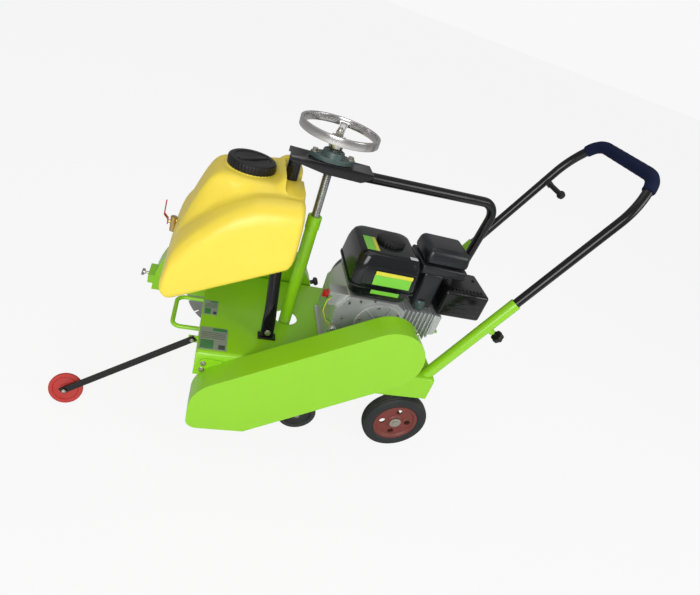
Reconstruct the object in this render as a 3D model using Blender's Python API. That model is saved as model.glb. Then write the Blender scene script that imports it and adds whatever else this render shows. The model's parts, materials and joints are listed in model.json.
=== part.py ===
"""A walk-behind concrete saw, one closed solid for each of its pieces.

The machine is built level, standing on its wheels on z = 0, its nose towards -X, the belt side
towards -Y and the blade side towards +Y. Lengths are in metres. Every object hangs from the empty
"machine", which puts the middle of the whole machine over the origin.
"""

import math

import bmesh
import bpy
from mathutils import Matrix, Vector

# --- driving dimensions -------------------------------------------------------------------------
MACHINE_MIDDLE_X = 0.211  # where the middle of the machine's length lies, from the deck's datum

GAP = 0.0004  # between pieces that touch
RUN = 0.0003  # radial clearance of what turns or slides in a bore

SHEET = 0.004
DECK_TOP = 0.283
DECK_FRONT = -0.126
DECK_REAR = 0.536
DECK_HALF_WIDTH = 0.197
DECK_BEND = 0.012
FLANGE_DROP = 0.075

REAR_WHEEL_R = 0.100
REAR_WHEEL_WIDTH = 0.044
REAR_WHEEL_FACE_Y = DECK_HALF_WIDTH + 0.0095
REAR_AXLE_X = 0.478
REAR_AXLE_R = 0.010
REAR_HUB_R = 0.068

FRONT_WHEEL_R = 0.056
FRONT_WHEEL_WIDTH = 0.034
FRONT_WHEEL_FACE_Y = 0.166
FRONT_AXLE_X = 0.186
FRONT_AXLE_R = 0.008

SWING_PIN_X = 0.450
SWING_PIN_Z = 0.235
SWING_PIN_R = 0.008
SWING_ARM_Y = 0.108
SWING_ARM_THICK = 0.008
AXLE_PLATE_Y = 0.146  # inner face
AXLE_PLATE_THICK = 0.006

MAST_X = 0.106
DECK_HOLE_R = 0.035
LIFT_TUBE_R = 0.017
LIFT_TUBE_WALL = 0.0035
LIFT_TUBE_TOP = 0.619
LIFT_PIN_Z = 0.110
LIFT_PIN_R = 0.008
SCREW_R = 0.011
SCREW_BOTTOM = 0.400
SCREW_END_R = 0.010

BRACKET_TOP = 0.770
BRACKET_FRONT = 0.005
BRACKET_REAR = 0.212
BRACKET_HALF_WIDTH = 0.0325
BRACKET_DEPTH = 0.027
BRACKET_SHEET = 0.005

BEARING_BOLT_HALF = 0.045
BEARING_HEIGHT = 0.0255

HANDWHEEL_R = 0.0975
HANDWHEEL_TOP = BRACKET_TOP + 0.084
HANDWHEEL_BAND = 0.020
HANDWHEEL_BAND_THICK = 0.008
HANDWHEEL_SPOKES = 3
HANDWHEEL_FIRST_SPOKE = math.radians(75)

STRUT_R = 0.016
STRUT_X = 0.022
STRUT_FOOT = (0.048, -0.104)
REAR_STRUT_R = 0.014
REAR_STRUT_BEND = (0.632, 0.080, BRACKET_TOP - 0.029)
REAR_STRUT_FOOT = (0.596, 0.080)

BLADE_SHAFT_X = -0.030
BLADE_SHAFT_Z = 0.165
BLADE_SHAFT_R = 0.0125
BLADE_R = 0.150
BLADE_THICK = 0.003
BLADE_Y = DECK_HALF_WIDTH + 0.043
BLADE_SEGMENTS = 18
BLADE_FLANGE_R = 0.035
SHAFT_BEARING_Y = 0.150  # middle
SHAFT_BEARING_WIDTH = 0.030
SHAFT_BEARING_R = 0.034

ENGINE_SHAFT_X = 0.338
ENGINE_SHAFT_HEIGHT = 0.106  # above the deck
ENGINE_SHAFT_R = 0.010
DRIVE_PULLEY_R = 0.040
BLADE_PULLEY_R = 0.048
PULLEY_WIDTH = 0.032
PULLEY_Y = -DECK_HALF_WIDTH - 0.037
BELT_THICK = 0.009
BELT_WIDTH = 0.026

BELT_GUARD_R = 0.094
BELT_GUARD_FACE_Y = -DECK_HALF_WIDTH - 0.072
BELT_GUARD_FLAT_Z = 0.088
BELT_GUARD_CORNER_R = 0.030
BELT_GUARD_SHEET = 0.003

BLADE_GUARD_R = 0.255
BLADE_GUARD_AHEAD = -0.001  # its arc's centre is this far in front of the shaft
BLADE_GUARD_INNER_Y = DECK_HALF_WIDTH + 0.0075
BLADE_GUARD_OUTER_Y = DECK_HALF_WIDTH + 0.077
BLADE_GUARD_SHEET = 0.003

SOCKET_Y = 0.169
RAIL_R = 0.013
SOCKET_WALL = 0.0035
SOCKET_R = RAIL_R + 0.0005 + SOCKET_WALL
SOCKET_SLOPE = math.radians(62.37)
SOCKET_AT_DECK_X = 0.518
SOCKET_ABOVE = 0.3234
KNOB_ALONG = 0.220
KNOB_R = 0.018
KNOB_THICK = 0.018
KNOB_STAND_OFF = SOCKET_R + 0.032  # from the socket's axis to the knob's near face

RAIL_START = 0.125
RAIL_BEND = 0.690
GRIP_BAR_ALONG = 0.780
GRIP_BAR_HALF = 0.128
HANDLE_CORNER_R = 0.055
GRIP_R = RAIL_R + 0.0045
LEVER_ALONG = 0.610
LEVER_LENGTH = 0.068
LEVER_LEAN = math.radians(20)

POINTER_Y = -0.140
POINTER_HINGE_X = -0.140
POINTER_HINGE_Z = 0.272
POINTER_WHEEL_X = -0.431
POINTER_WHEEL_R = 0.041
POINTER_WHEEL_THICK = 0.008
POINTER_WHEEL_OFF = 0.0100  # from the bar's middle to the wheel, along the leaned pin
POINTER_LEAN = math.radians(25)  # the wheel's top leans away from the bar
POINTER_BAR_WIDTH = 0.018
POINTER_BAR_THICK = 0.004
POINTER_LUG_THICK = 0.004

LIFT_HANDLE_Z = 0.262
LIFT_HANDLE_Y = -0.017
LIFT_HANDLE_HALF = 0.066
LIFT_HANDLE_OUT = 0.076
LIFT_HANDLE_R = 0.0058

TANK_HALF_WIDTH = 0.176
TANK_SHOULDER_HALF = 0.088
TANK_CAP_X = -0.075
TAP_AT = (-0.2360, 0.085, 0.474)
TAP_INLET_R = 0.006
TANK_TOP = 0.706
TANK_CREST = 0.738
TANK_CAP_R = 0.0575
TANK_CAP_HEIGHT = 0.023

CASE_FRONT = 0.205
CASE_REAR = 0.400
CASE_NEAR = -0.112
CASE_FAR = 0.070
CASE_HEIGHT = 0.180
FUEL_TANK_LENGTH = 0.190
FUEL_TANK_FRONT = 0.214
FUEL_TANK_NEAR = -0.125
FUEL_TANK_FAR = 0.070
FUEL_TANK_SEAM = 0.508
FUEL_TANK_TOP = 0.601
FUEL_CAP_R = 0.032
SWITCH_AT = (0.182, -0.078, 0.440)
THROTTLE_AT = (0.407, 0.470)
RECOIL_R = 0.100
RECOIL_DEPTH = 0.070

POLE_STEPS = 24
WHEEL_STEPS = 32


# --- helpers ------------------------------------------------------------------------------------
def clear_scene():
    for old in list(bpy.data.objects):
        bpy.data.objects.remove(old, do_unlink=True)


def paint(name, colour, roughness, metallic=0.0):
    """A plain Principled material, made once for each name."""
    if name in bpy.data.materials:
        return bpy.data.materials[name]
    made = bpy.data.materials.new(name)
    made.use_nodes = True
    shader = made.node_tree.nodes["Principled BSDF"]
    shader.inputs["Base Color"].default_value = (*colour, 1.0)
    shader.inputs["Roughness"].default_value = roughness
    shader.inputs["Metallic"].default_value = metallic
    return made


def green_paint():
    return paint("lime_green_paint", (0.35, 0.74, 0.02), 0.35)


def black_paint():
    return paint("black_paint", (0.015, 0.015, 0.018), 0.35)


def bare_steel():
    return paint("zinc_steel", (0.50, 0.49, 0.45), 0.35, 1.0)


def cast_alloy():
    return paint("cast_alloy", (0.30, 0.33, 0.33), 0.50, 0.8)


def black_plastic():
    return paint("black_plastic", (0.012, 0.013, 0.014), 0.40)


def black_rubber():
    return paint("black_rubber", (0.035, 0.038, 0.038), 0.75)


def add_object(name, mesh, colour, parent, smooth=False):
    obj = bpy.data.objects.new(name, mesh)
    bpy.context.scene.collection.objects.link(obj)
    obj.data.materials.append(colour)
    obj.parent = parent
    for face in mesh.polygons:
        face.use_smooth = smooth
    return obj


def mesh_of(name, points, faces):
    """A mesh whose faces all point outwards."""
    mesh = bpy.data.meshes.new(name)
    work = bmesh.new()
    corners = [work.verts.new(p) for p in points]
    for face in faces:
        work.faces.new([corners[i] for i in face])
    bmesh.ops.recalc_face_normals(work, faces=work.faces)
    work.to_mesh(mesh)
    work.free()
    return mesh


def frame_along(direction):
    """Two unit vectors square to a direction and to each other."""
    ahead = Vector(direction).normalized()
    side = ahead.orthogonal().normalized()
    return side, ahead.cross(side)


def ring(centre, side, up, radius, steps, turn=0.0):
    angles = [turn + 2 * math.pi * i / steps for i in range(steps)]
    return [Vector(centre) + radius * (math.cos(a) * side + math.sin(a) * up) for a in angles]


def skin(rings, loop):
    """Faces between rings of equal count: a loop closes on itself, else each end gets a cap."""
    steps = len(rings[0])
    points = [p for one in rings for p in one]
    faces = []
    pairs = len(rings) if loop else len(rings) - 1
    for r in range(pairs):
        a, b = r * steps, ((r + 1) % len(rings)) * steps
        for i in range(steps):
            j = (i + 1) % steps
            faces.append((a + i, a + j, b + j, b + i))
    if not loop:
        faces.append(tuple(range(steps)))
        faces.append(tuple(range(len(points) - steps, len(points))))
    return points, faces


def turned(name, profile, centre, axis, steps=POLE_STEPS, hollow=False, turn=0.0):
    """A profile of (radius, distance along the axis) turned round the axis. Hollow profiles are loops."""
    side, up = frame_along(axis)
    ahead = Vector(axis).normalized()
    rings = [ring(Vector(centre) + ahead * z, side, up, r, steps, turn) for r, z in profile]
    return mesh_of(name, *skin(rings, hollow))


def rod(name, radius, start, end, steps=POLE_STEPS):
    length = (Vector(end) - Vector(start)).length
    return turned(name, [(radius, 0), (radius, length)], start, Vector(end) - Vector(start), steps)


def washer(name, outer, inner, start, end, steps=POLE_STEPS):
    length = (Vector(end) - Vector(start)).length
    profile = [(outer, 0), (outer, length), (inner, length), (inner, 0)]
    return turned(name, profile, start, Vector(end) - Vector(start), steps, hollow=True)


def block(name, low, high):
    xs, ys, zs = zip(low, high)
    points = [(x, y, z) for x in xs for y in ys for z in zs]
    faces = [(0, 1, 3, 2), (4, 6, 7, 5), (0, 4, 5, 1), (2, 3, 7, 6), (0, 2, 6, 4), (1, 5, 7, 3)]
    return mesh_of(name, points, faces)


def plate(name, outline, axis, low, high):
    """A flat outline given in the two directions left over, pushed through along axis X, Y or Z."""
    place = {"X": lambda u, v, w: (w, u, v), "Y": lambda u, v, w: (u, w, v), "Z": lambda u, v, w: (u, v, w)}
    ends = [[Vector(place[axis](u, v, w)) for u, v in outline] for w in (low, high)]
    return mesh_of(name, *skin(ends, False))


def hull(name, points):
    mesh = bpy.data.meshes.new(name)
    work = bmesh.new()
    for p in points:
        work.verts.new(p)
    made = bmesh.ops.convex_hull(work, input=work.verts)
    bmesh.ops.delete(work, geom=made["geom_interior"], context="VERTS")
    bmesh.ops.recalc_face_normals(work, faces=work.faces)
    work.to_mesh(mesh)
    work.free()
    return mesh


def rounded_path(corners, bend_radius, steps=5):
    """The corners joined by straight runs, with an arc of the given radius at each inner corner."""
    corners = [Vector(c) for c in corners]
    path = [corners[0]]
    for before, here, after in zip(corners, corners[1:], corners[2:]):
        back, ahead = (before - here).normalized(), (after - here).normalized()
        half = back.angle(ahead) / 2
        reach = bend_radius / math.tan(half)
        middle = here + (back + ahead).normalized() * bend_radius / math.sin(half)
        first, last = here + back * reach - middle, here + ahead * reach - middle
        spread = first.angle(last)
        for i in range(steps + 1):
            t = i / steps
            weights = math.sin((1 - t) * spread), math.sin(t * spread)
            path.append(middle + (first * weights[0] + last * weights[1]) / math.sin(spread))
    return path + [corners[-1]]


def carried_frames(path):
    """A side and an up vector at each point, turned as little as possible along the path."""
    ways = [(b - a).normalized() for a, b in zip(path, path[1:])]
    tangents = [ways[0]] + [(a + b).normalized() for a, b in zip(ways, ways[1:])] + [ways[-1]]
    side, _ = frame_along(tangents[0])
    frames = []
    for tangent in tangents:
        side = (side - tangent * side.dot(tangent)).normalized()
        frames.append((side, tangent.cross(side)))
    return frames


def bent_rod(name, path, radius, steps=16, bore=0.0):
    """A round bar along a path, or a tube if it has a bore."""
    frames = carried_frames(path)
    rings = [ring(p, s, u, radius, steps) for p, (s, u) in zip(path, frames)]
    if bore:
        rings += [ring(p, s, u, bore, steps) for p, (s, u) in reversed(list(zip(path, frames)))]
    return mesh_of(name, *skin(rings, bool(bore)))


def helper(mesh):
    obj = bpy.data.objects.new(mesh.name, mesh)
    bpy.context.scene.collection.objects.link(obj)
    obj.hide_render = True
    obj.display_type = "WIRE"
    return obj


def combine(obj, operation, meshes):
    """Cuts or joins helper meshes, which are in the object's own coordinates."""
    for mesh in meshes:
        other = helper(mesh)
        other.parent = obj
        step = obj.modifiers.new(mesh.name, "BOOLEAN")
        step.operation = operation
        step.object = other
    return obj


def cut(obj, *meshes):
    return combine(obj, "DIFFERENCE", meshes)


def join(obj, *meshes):
    return combine(obj, "UNION", meshes)


def soften(obj, width, segments=2):
    edge = obj.modifiers.new("softened edges", "BEVEL")
    edge.width = width
    edge.segments = segments
    edge.limit_method = "ANGLE"
    edge.angle_limit = math.radians(30)
    return obj


def flat_footed(profile, steps):
    """The profile grown so that the flats of a many-sided wheel, not its corners, have the radii given."""
    return [(r / math.cos(math.pi / steps), z) for r, z in profile]


def empty_at(name, place, parent):
    made = bpy.data.objects.new(name, None)
    made.location = place
    made.parent = parent
    bpy.context.scene.collection.objects.link(made)
    return made


def sides():
    """The two sides of the machine: the operator's left is -Y."""
    return (("left", -1), ("right", 1))


# --- chassis ------------------------------------------------------------------------------------
def bent_section(half_width, top, drop, sheet, bend, steps=4):
    """The outline of a channel, flanges down, with rounded upper corners, as (y, z) points."""
    def side_of(reach, crown, radius, sign):
        centre = reach - radius, crown - radius
        arc = [math.radians(90) * i / steps for i in range(steps + 1)]
        return [(sign * (centre[0] + radius * math.sin(a)), centre[1] + radius * math.cos(a)) for a in arc]
    outer = [(-half_width, top - drop)] + side_of(half_width, top, bend, -1)[::-1]
    outer += side_of(half_width, top, bend, 1) + [(half_width, top - drop)]
    inner = [(half_width - sheet, top - drop)]
    inner += side_of(half_width - sheet, top - sheet, bend - sheet, 1)[::-1]
    inner += side_of(half_width - sheet, top - sheet, bend - sheet, -1) + [(-half_width + sheet, top - drop)]
    return outer + inner


def chassis_deck(machine):
    """The folded deck with its end plates, the lift tube's hole and the pointer's lugs."""
    section = bent_section(DECK_HALF_WIDTH, DECK_TOP, FLANGE_DROP, SHEET, DECK_BEND)
    deck = add_object("chassis_deck", plate("deck sheet", section, "X", DECK_FRONT, DECK_REAR),
                      green_paint(), machine)
    inside = DECK_HALF_WIDTH - SHEET / 2
    low = DECK_TOP - FLANGE_DROP
    front = block("front plate", (DECK_FRONT + 0.0005, -inside, low + 0.001),
                  (DECK_FRONT + SHEET, inside, DECK_TOP - SHEET / 2))
    rear = block("rear plate", (DECK_REAR - SHEET, -inside, low + 0.001),
                 (DECK_REAR - 0.0005, inside, DECK_TOP - SHEET / 2))
    x, y = REAR_STRUT_FOOT
    tab = block("strut tab", (DECK_REAR - 0.03, y - 0.034, DECK_TOP - SHEET - 0.003),
                (x + 0.026, y + 0.034, DECK_TOP - 0.0005))
    side = POINTER_Y + POINTER_BAR_THICK / 2 + GAP
    lug = block("pointer lug", (POINTER_HINGE_X - 0.010, side, POINTER_HINGE_Z - 0.012),
                (DECK_FRONT + 0.002, side + POINTER_LUG_THICK, POINTER_HINGE_Z + 0.009))
    join(deck, front, rear, tab, lug)
    cut(deck, rod("lift hole", DECK_HOLE_R, (MAST_X, 0, DECK_TOP - 0.02), (MAST_X, 0, DECK_TOP + 0.02)),
        rod("pointer hole", 0.004 + RUN, (POINTER_HINGE_X, POINTER_Y - 0.02, POINTER_HINGE_Z),
            (POINTER_HINGE_X, POINTER_Y + 0.02, POINTER_HINGE_Z), 12))
    return deck


def lift_handle(machine):
    """The round-bar loop at the nose, for lifting the machine."""
    x = DECK_FRONT - GAP
    low, high = LIFT_HANDLE_Y - LIFT_HANDLE_HALF, LIFT_HANDLE_Y + LIFT_HANDLE_HALF
    out = x - LIFT_HANDLE_OUT + LIFT_HANDLE_R
    corners = [(x, low, LIFT_HANDLE_Z), (out, low, LIFT_HANDLE_Z), (out, high, LIFT_HANDLE_Z), (x, high, LIFT_HANDLE_Z)]
    bar = bent_rod("lift bar", rounded_path(corners, 0.022), LIFT_HANDLE_R, 12)
    add_object("lift_handle", bar, green_paint(), machine, smooth=True)


def axle_plates(machine):
    """The two upright plates under the deck that hold the rear axle and the swing frame's pin."""
    top = DECK_TOP - SHEET - GAP
    outline = [(0.405, top), (0.478, top), (0.505, 0.110), (0.490, 0.080), (0.466, 0.080), (0.452, 0.110), (0.405, 0.215)]
    for word, sign in sides():
        y = sorted((sign * AXLE_PLATE_Y, sign * (AXLE_PLATE_Y + AXLE_PLATE_THICK)))
        made = add_object(f"axle_plate_{word}", plate("axle plate", outline, "Y", *y), green_paint(), machine)
        holes = ((REAR_AXLE_X, REAR_WHEEL_R, REAR_AXLE_R + RUN), (SWING_PIN_X, SWING_PIN_Z, SWING_PIN_R + RUN))
        cut(made, *[rod("hole", r, (x, y[0] - 0.01, z), (x, y[1] + 0.01, z), 20) for x, z, r in holes])


def cross_rods(machine):
    """The rear axle and the pin that the swing frame turns on."""
    reach = REAR_WHEEL_FACE_Y - 0.006
    axle = rod("axle bar", REAR_AXLE_R, (REAR_AXLE_X, -reach, REAR_WHEEL_R), (REAR_AXLE_X, reach, REAR_WHEEL_R))
    add_object("rear_axle", axle, bare_steel(), machine, smooth=True)
    reach = AXLE_PLATE_Y + AXLE_PLATE_THICK + 0.0035
    pin = rod("pin bar", SWING_PIN_R, (SWING_PIN_X, -reach, SWING_PIN_Z), (SWING_PIN_X, reach, SWING_PIN_Z), 20)
    add_object("swing_pin", pin, bare_steel(), machine, smooth=True)


# --- push handle --------------------------------------------------------------------------------
def along_handle(distance, y=0.0):
    """A point on the handle's slope, counted from where its axis crosses the deck's top."""
    return Vector((SOCKET_AT_DECK_X + distance * math.cos(SOCKET_SLOPE), y,
                   DECK_TOP + distance * math.sin(SOCKET_SLOPE)))


def handle_back():
    """The direction square to the handle, down and to the rear."""
    return Vector((math.sin(SOCKET_SLOPE), 0, -math.cos(SOCKET_SLOPE)))


def handle_sockets(machine):
    """The sloping tubes, welded on the deck, that hold the push handle, each with a clamp boss."""
    for word, sign in sides():
        y = sign * SOCKET_Y
        bore = SOCKET_R - SOCKET_WALL
        start = along_handle(-SOCKET_R, y)
        tube = washer("socket tube", SOCKET_R, bore, start, along_handle(SOCKET_ABOVE, y))
        made = add_object(f"handle_socket_{word}", tube, green_paint(), machine)
        at = along_handle(KNOB_ALONG, y)
        boss = rod("clamp boss", 0.009, at + handle_back() * (SOCKET_R - 0.002), at + handle_back() * 0.030, 16)
        join(made, boss)
        below = block("deck side", (start.x - 0.1, y - 0.1, start.z - 0.1), (start.x + 0.1, y + 0.1, DECK_TOP + GAP))
        cut(made, below, rod("clamp hole", 0.004 + RUN, at, at + handle_back() * 0.05, 12),
            rod("clear bore", bore, along_handle(0.1, y), along_handle(SOCKET_ABOVE + 0.01, y)))


def clamp_knobs(machine):
    """The lobed knobs whose studs clamp the handle in its sockets."""
    for word, sign in sides():
        place = along_handle(KNOB_ALONG, sign * SOCKET_Y)
        pivot = empty_at(f"knob pivot {word}", place, machine)
        back = handle_back()
        side, up = frame_along(back)
        rings = []
        for reach in (KNOB_STAND_OFF, KNOB_STAND_OFF + KNOB_THICK):
            around = [2 * math.pi * i / 42 for i in range(42)]
            rings.append([back * reach + (KNOB_R - 0.0022 + 0.0022 * math.cos(7 * a)) *
                          (math.cos(a) * side + math.sin(a) * up) for a in around])
        made = add_object(f"clamp_knob_{word}", mesh_of("lobed head", *skin(rings, False)), black_plastic(), pivot)
        join(made, rod("stud", 0.004, back * (RAIL_R + GAP), back * (KNOB_STAND_OFF + 0.004), 12))


def push_handle(machine):
    """The bent tube that the operator holds, with its foam grip and its lever."""
    half = [along_handle(RAIL_START, SOCKET_Y), along_handle(RAIL_BEND, SOCKET_Y),
            along_handle(GRIP_BAR_ALONG, GRIP_BAR_HALF)]
    mirror = Matrix.Diagonal((1, -1, 1))
    corners = [mirror @ p for p in half] + half[::-1]
    path = rounded_path(corners, HANDLE_CORNER_R, 6)
    handle = add_object("push_handle", bent_rod("handle tube", path, RAIL_R, 16), black_paint(), machine, smooth=True)
    first, last = 8, len(path) - 9
    grip_path = [path[first] + (path[first - 1] - path[first]).normalized() * 0.006] + path[first:last + 1]
    grip_path.append(path[last] + (path[last + 1] - path[last]).normalized() * 0.006)
    grip = bent_rod("grip sleeve", grip_path, GRIP_R, 16, RAIL_R + GAP)
    add_object("foam_grip", grip, paint("navy_foam", (0.012, 0.016, 0.050), 0.9), machine, smooth=True)
    at = along_handle(LEVER_ALONG, SOCKET_Y) + Vector((0, -RAIL_R - GAP, 0))
    inward = Vector((0, -math.cos(LEVER_LEAN), 0)) + handle_back() * math.sin(LEVER_LEAN)
    profile = [(0.0085, 0.009), (0.0075, 0.014), (0.0075, LEVER_LENGTH - 0.012), (0.0120, LEVER_LENGTH - 0.006),
               (0.0125, LEVER_LENGTH), (0.0095, LEVER_LENGTH + 0.007)]
    pivot = empty_at("lever pivot", at + Vector((0, -0.010, 0)), machine)
    lever = add_object("handle_lever", turned("lever barrel", profile, -inward * 0.009, inward, 16), black_plastic(), pivot,
                       smooth=True)
    join(lever, rod("lever hub", 0.0095, handle_back() * -0.009, handle_back() * 0.009, 20))
    return handle


# --- wheels and swing frame ---------------------------------------------------------------------
def rear_wheels(machine):
    for word, sign in sides():
        out = Vector((0, sign, 0))
        centre = Vector((REAR_AXLE_X, sign * (REAR_WHEEL_FACE_Y - REAR_WHEEL_WIDTH / 2), REAR_WHEEL_R))
        pivot = empty_at(f"rear wheel pivot {word}", centre, machine)
        half = REAR_WHEEL_WIDTH / 2
        inner = REAR_HUB_R + GAP
        tread = [(inner, -half + 0.003), (0.088, -half), (REAR_WHEEL_R - 0.003, -half + 0.008), (REAR_WHEEL_R, 0),
                 (REAR_WHEEL_R - 0.003, half - 0.008), (0.088, half), (inner, half - 0.003)]
        tyre = turned("tyre", flat_footed(tread, WHEEL_STEPS), (0, 0, 0), out, WHEEL_STEPS, hollow=True,
                      turn=math.pi / WHEEL_STEPS)
        add_object(f"rear_tyre_{word}", tyre, black_rubber(), pivot, smooth=True)
        bore = REAR_AXLE_R + RUN
        shape = [(bore, -half + 0.001), (0.022, -half + 0.001), (0.024, 0.006), (0.056, 0.008), (0.060, -half + 0.004),
                 (REAR_HUB_R, -half + 0.004), (REAR_HUB_R, half - 0.004), (0.061, half - 0.004), (0.056, 0.013),
                 (0.026, 0.012), (0.022, half - 0.006), (bore, half - 0.006)]
        hub = add_object(f"rear_hub_{word}", turned("hub", shape, (0, 0, 0), out, WHEEL_STEPS, hollow=True),
                         paint("red_casting", (0.30, 0.035, 0.022), 0.5), pivot)
        side, up = frame_along(out)
        places = [0.041 * (math.cos(a) * side + math.sin(a) * up)
                  for a in (math.pi / 4 + math.pi / 2 * i for i in range(4))]
        cut(hub, *[rod("light hole", 0.010, p - out * 0.05, p + out * 0.05, 12) for p in places])


def front_wheels(carrier):
    """The small solid wheels under the nose; they turn on the front axle."""
    for word, sign in sides():
        out = Vector((0, sign, 0))
        half = FRONT_WHEEL_WIDTH / 2
        centre = Vector((FRONT_AXLE_X - SWING_PIN_X, sign * (FRONT_WHEEL_FACE_Y - half), FRONT_WHEEL_R - SWING_PIN_Z))
        pivot = empty_at(f"front wheel pivot {word}", centre, carrier)
        bore = FRONT_AXLE_R + RUN
        shape = [(bore, -half), (0.018, -half), (0.020, -half + 0.008), (0.040, -half + 0.008), (0.042, -half),
                 (FRONT_WHEEL_R - 0.003, -half), (FRONT_WHEEL_R, -half + 0.004), (FRONT_WHEEL_R, half - 0.004),
                 (FRONT_WHEEL_R - 0.003, half), (0.042, half), (0.040, half - 0.008), (0.020, half - 0.008),
                 (0.018, half), (bore, half)]
        wheel = turned("wheel", flat_footed(shape, WHEEL_STEPS), (0, 0, 0), out, WHEEL_STEPS, hollow=True,
                       turn=math.pi / WHEEL_STEPS)
        add_object(f"front_wheel_{word}", wheel, black_rubber(), pivot)


def swing_frame(machine):
    """The frame that carries the front wheels, pushed down at its nose by the lift tube."""
    carrier = empty_at("swing pivot", (SWING_PIN_X, 0, SWING_PIN_Z), machine)
    at = Vector((-SWING_PIN_X, 0, -SWING_PIN_Z))
    nose = Vector((MAST_X, 0, LIFT_PIN_Z)) + at
    axle = Vector((FRONT_AXLE_X, 0, FRONT_WHEEL_R)) + at
    outline = [(0.020, 0.010), (0.014, -0.020), (axle.x + 0.040, axle.z + 0.012), (axle.x + 0.012, axle.z - 0.018),
               (axle.x - 0.014, axle.z - 0.018), (nose.x - 0.018, nose.z - 0.012), (nose.x - 0.016, nose.z + 0.014),
               (axle.x + 0.010, axle.z + 0.068), (-0.020, 0.018), (0.008, 0.022)]
    arms = [plate(f"arm {sign}", outline, "Y", *sorted((sign * SWING_ARM_Y, sign * (SWING_ARM_Y + SWING_ARM_THICK))))
            for sign in (-1, 1)]
    frame = add_object("swing_frame", arms[0], green_paint(), carrier)
    reach = SWING_ARM_Y + SWING_ARM_THICK - 0.001
    push_bar = rod("push bar", LIFT_PIN_R, nose + Vector((0, -reach, 0)), nose + Vector((0, reach, 0)), 16)
    tie = block("tie bar", (-0.150, -reach, -0.090), (-0.120, reach, -0.070))
    join(frame, arms[1], push_bar, tie)
    cut(frame, rod("pin bore", SWING_PIN_R + RUN, (0, -0.2, 0), (0, 0.2, 0), 20),
        rod("axle bore", FRONT_AXLE_R + GAP, axle + Vector((0, -0.2, 0)), axle + Vector((0, 0.2, 0)), 20))
    reach = FRONT_WHEEL_FACE_Y + 0.003
    bar = rod("front axle bar", FRONT_AXLE_R, axle + Vector((0, -reach, 0)), axle + Vector((0, reach, 0)), 20)
    add_object("front_axle", bar, bare_steel(), carrier, smooth=True)
    front_wheels(carrier)


# --- depth control ------------------------------------------------------------------------------
def screw_bracket(machine):
    """The channel on top of the struts that carries the screw's flange bearing."""
    half, sheet = BRACKET_HALF_WIDTH, BRACKET_SHEET
    low = BRACKET_TOP - BRACKET_DEPTH
    section = [(-half, low), (-half, BRACKET_TOP), (half, BRACKET_TOP), (half, low), (half - sheet, low),
               (half - sheet, BRACKET_TOP - sheet), (-half + sheet, BRACKET_TOP - sheet), (-half + sheet, low)]
    made = add_object("screw_bracket", plate("channel", section, "X", BRACKET_FRONT, BRACKET_REAR), black_paint(), machine)
    corner = [(BRACKET_REAR - 0.030, low - 0.001), (BRACKET_REAR + 0.001, low - 0.001), (BRACKET_REAR + 0.001, low + 0.013)]
    cut(made, plate("cut corner", corner, "Y", -half - 0.01, half + 0.01),
        rod("screw hole", 0.014, (MAST_X, 0, low), (MAST_X, 0, BRACKET_TOP + 0.01)))


def bearing_housing(machine):
    """The two-bolt flange bearing, its screw eyes along the bracket, with its bolts."""
    z = BRACKET_TOP + GAP
    steps = 12
    outline = []
    for turn, x, r in ((-90, BEARING_BOLT_HALF, 0.0115), (0, 0, 0.030), (90, -BEARING_BOLT_HALF, 0.0115), (180, 0, 0.030)):
        wide = 150 if r < 0.02 else 70
        first = {-90: -75, 0: 55, 90: 105, 180: 235}[turn]
        outline += [(MAST_X + x + r * math.cos(math.radians(first + wide * i / steps)),
                     r * math.sin(math.radians(first + wide * i / steps))) for i in range(steps + 1)]
    made = add_object("bearing_housing", plate("ears", outline, "Z", z, z + 0.012),
                      paint("grey_green_casting", (0.20, 0.27, 0.26), 0.5, 0.3), machine)
    boss = turned("boss", [(0.0295, 0.004), (0.027, BEARING_HEIGHT)], (MAST_X, 0, z), (0, 0, 1), 28)
    heads = [rod("bolt", 0.0085, (MAST_X + s * BEARING_BOLT_HALF, 0, z + 0.010),
                 (MAST_X + s * BEARING_BOLT_HALF, 0, z + 0.021), 6) for s in (-1, 1)]
    join(made, boss, *heads)
    cut(made, rod("bearing bore", SCREW_END_R + RUN, (MAST_X, 0, z - 0.01), (MAST_X, 0, z + 0.05)))


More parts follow.
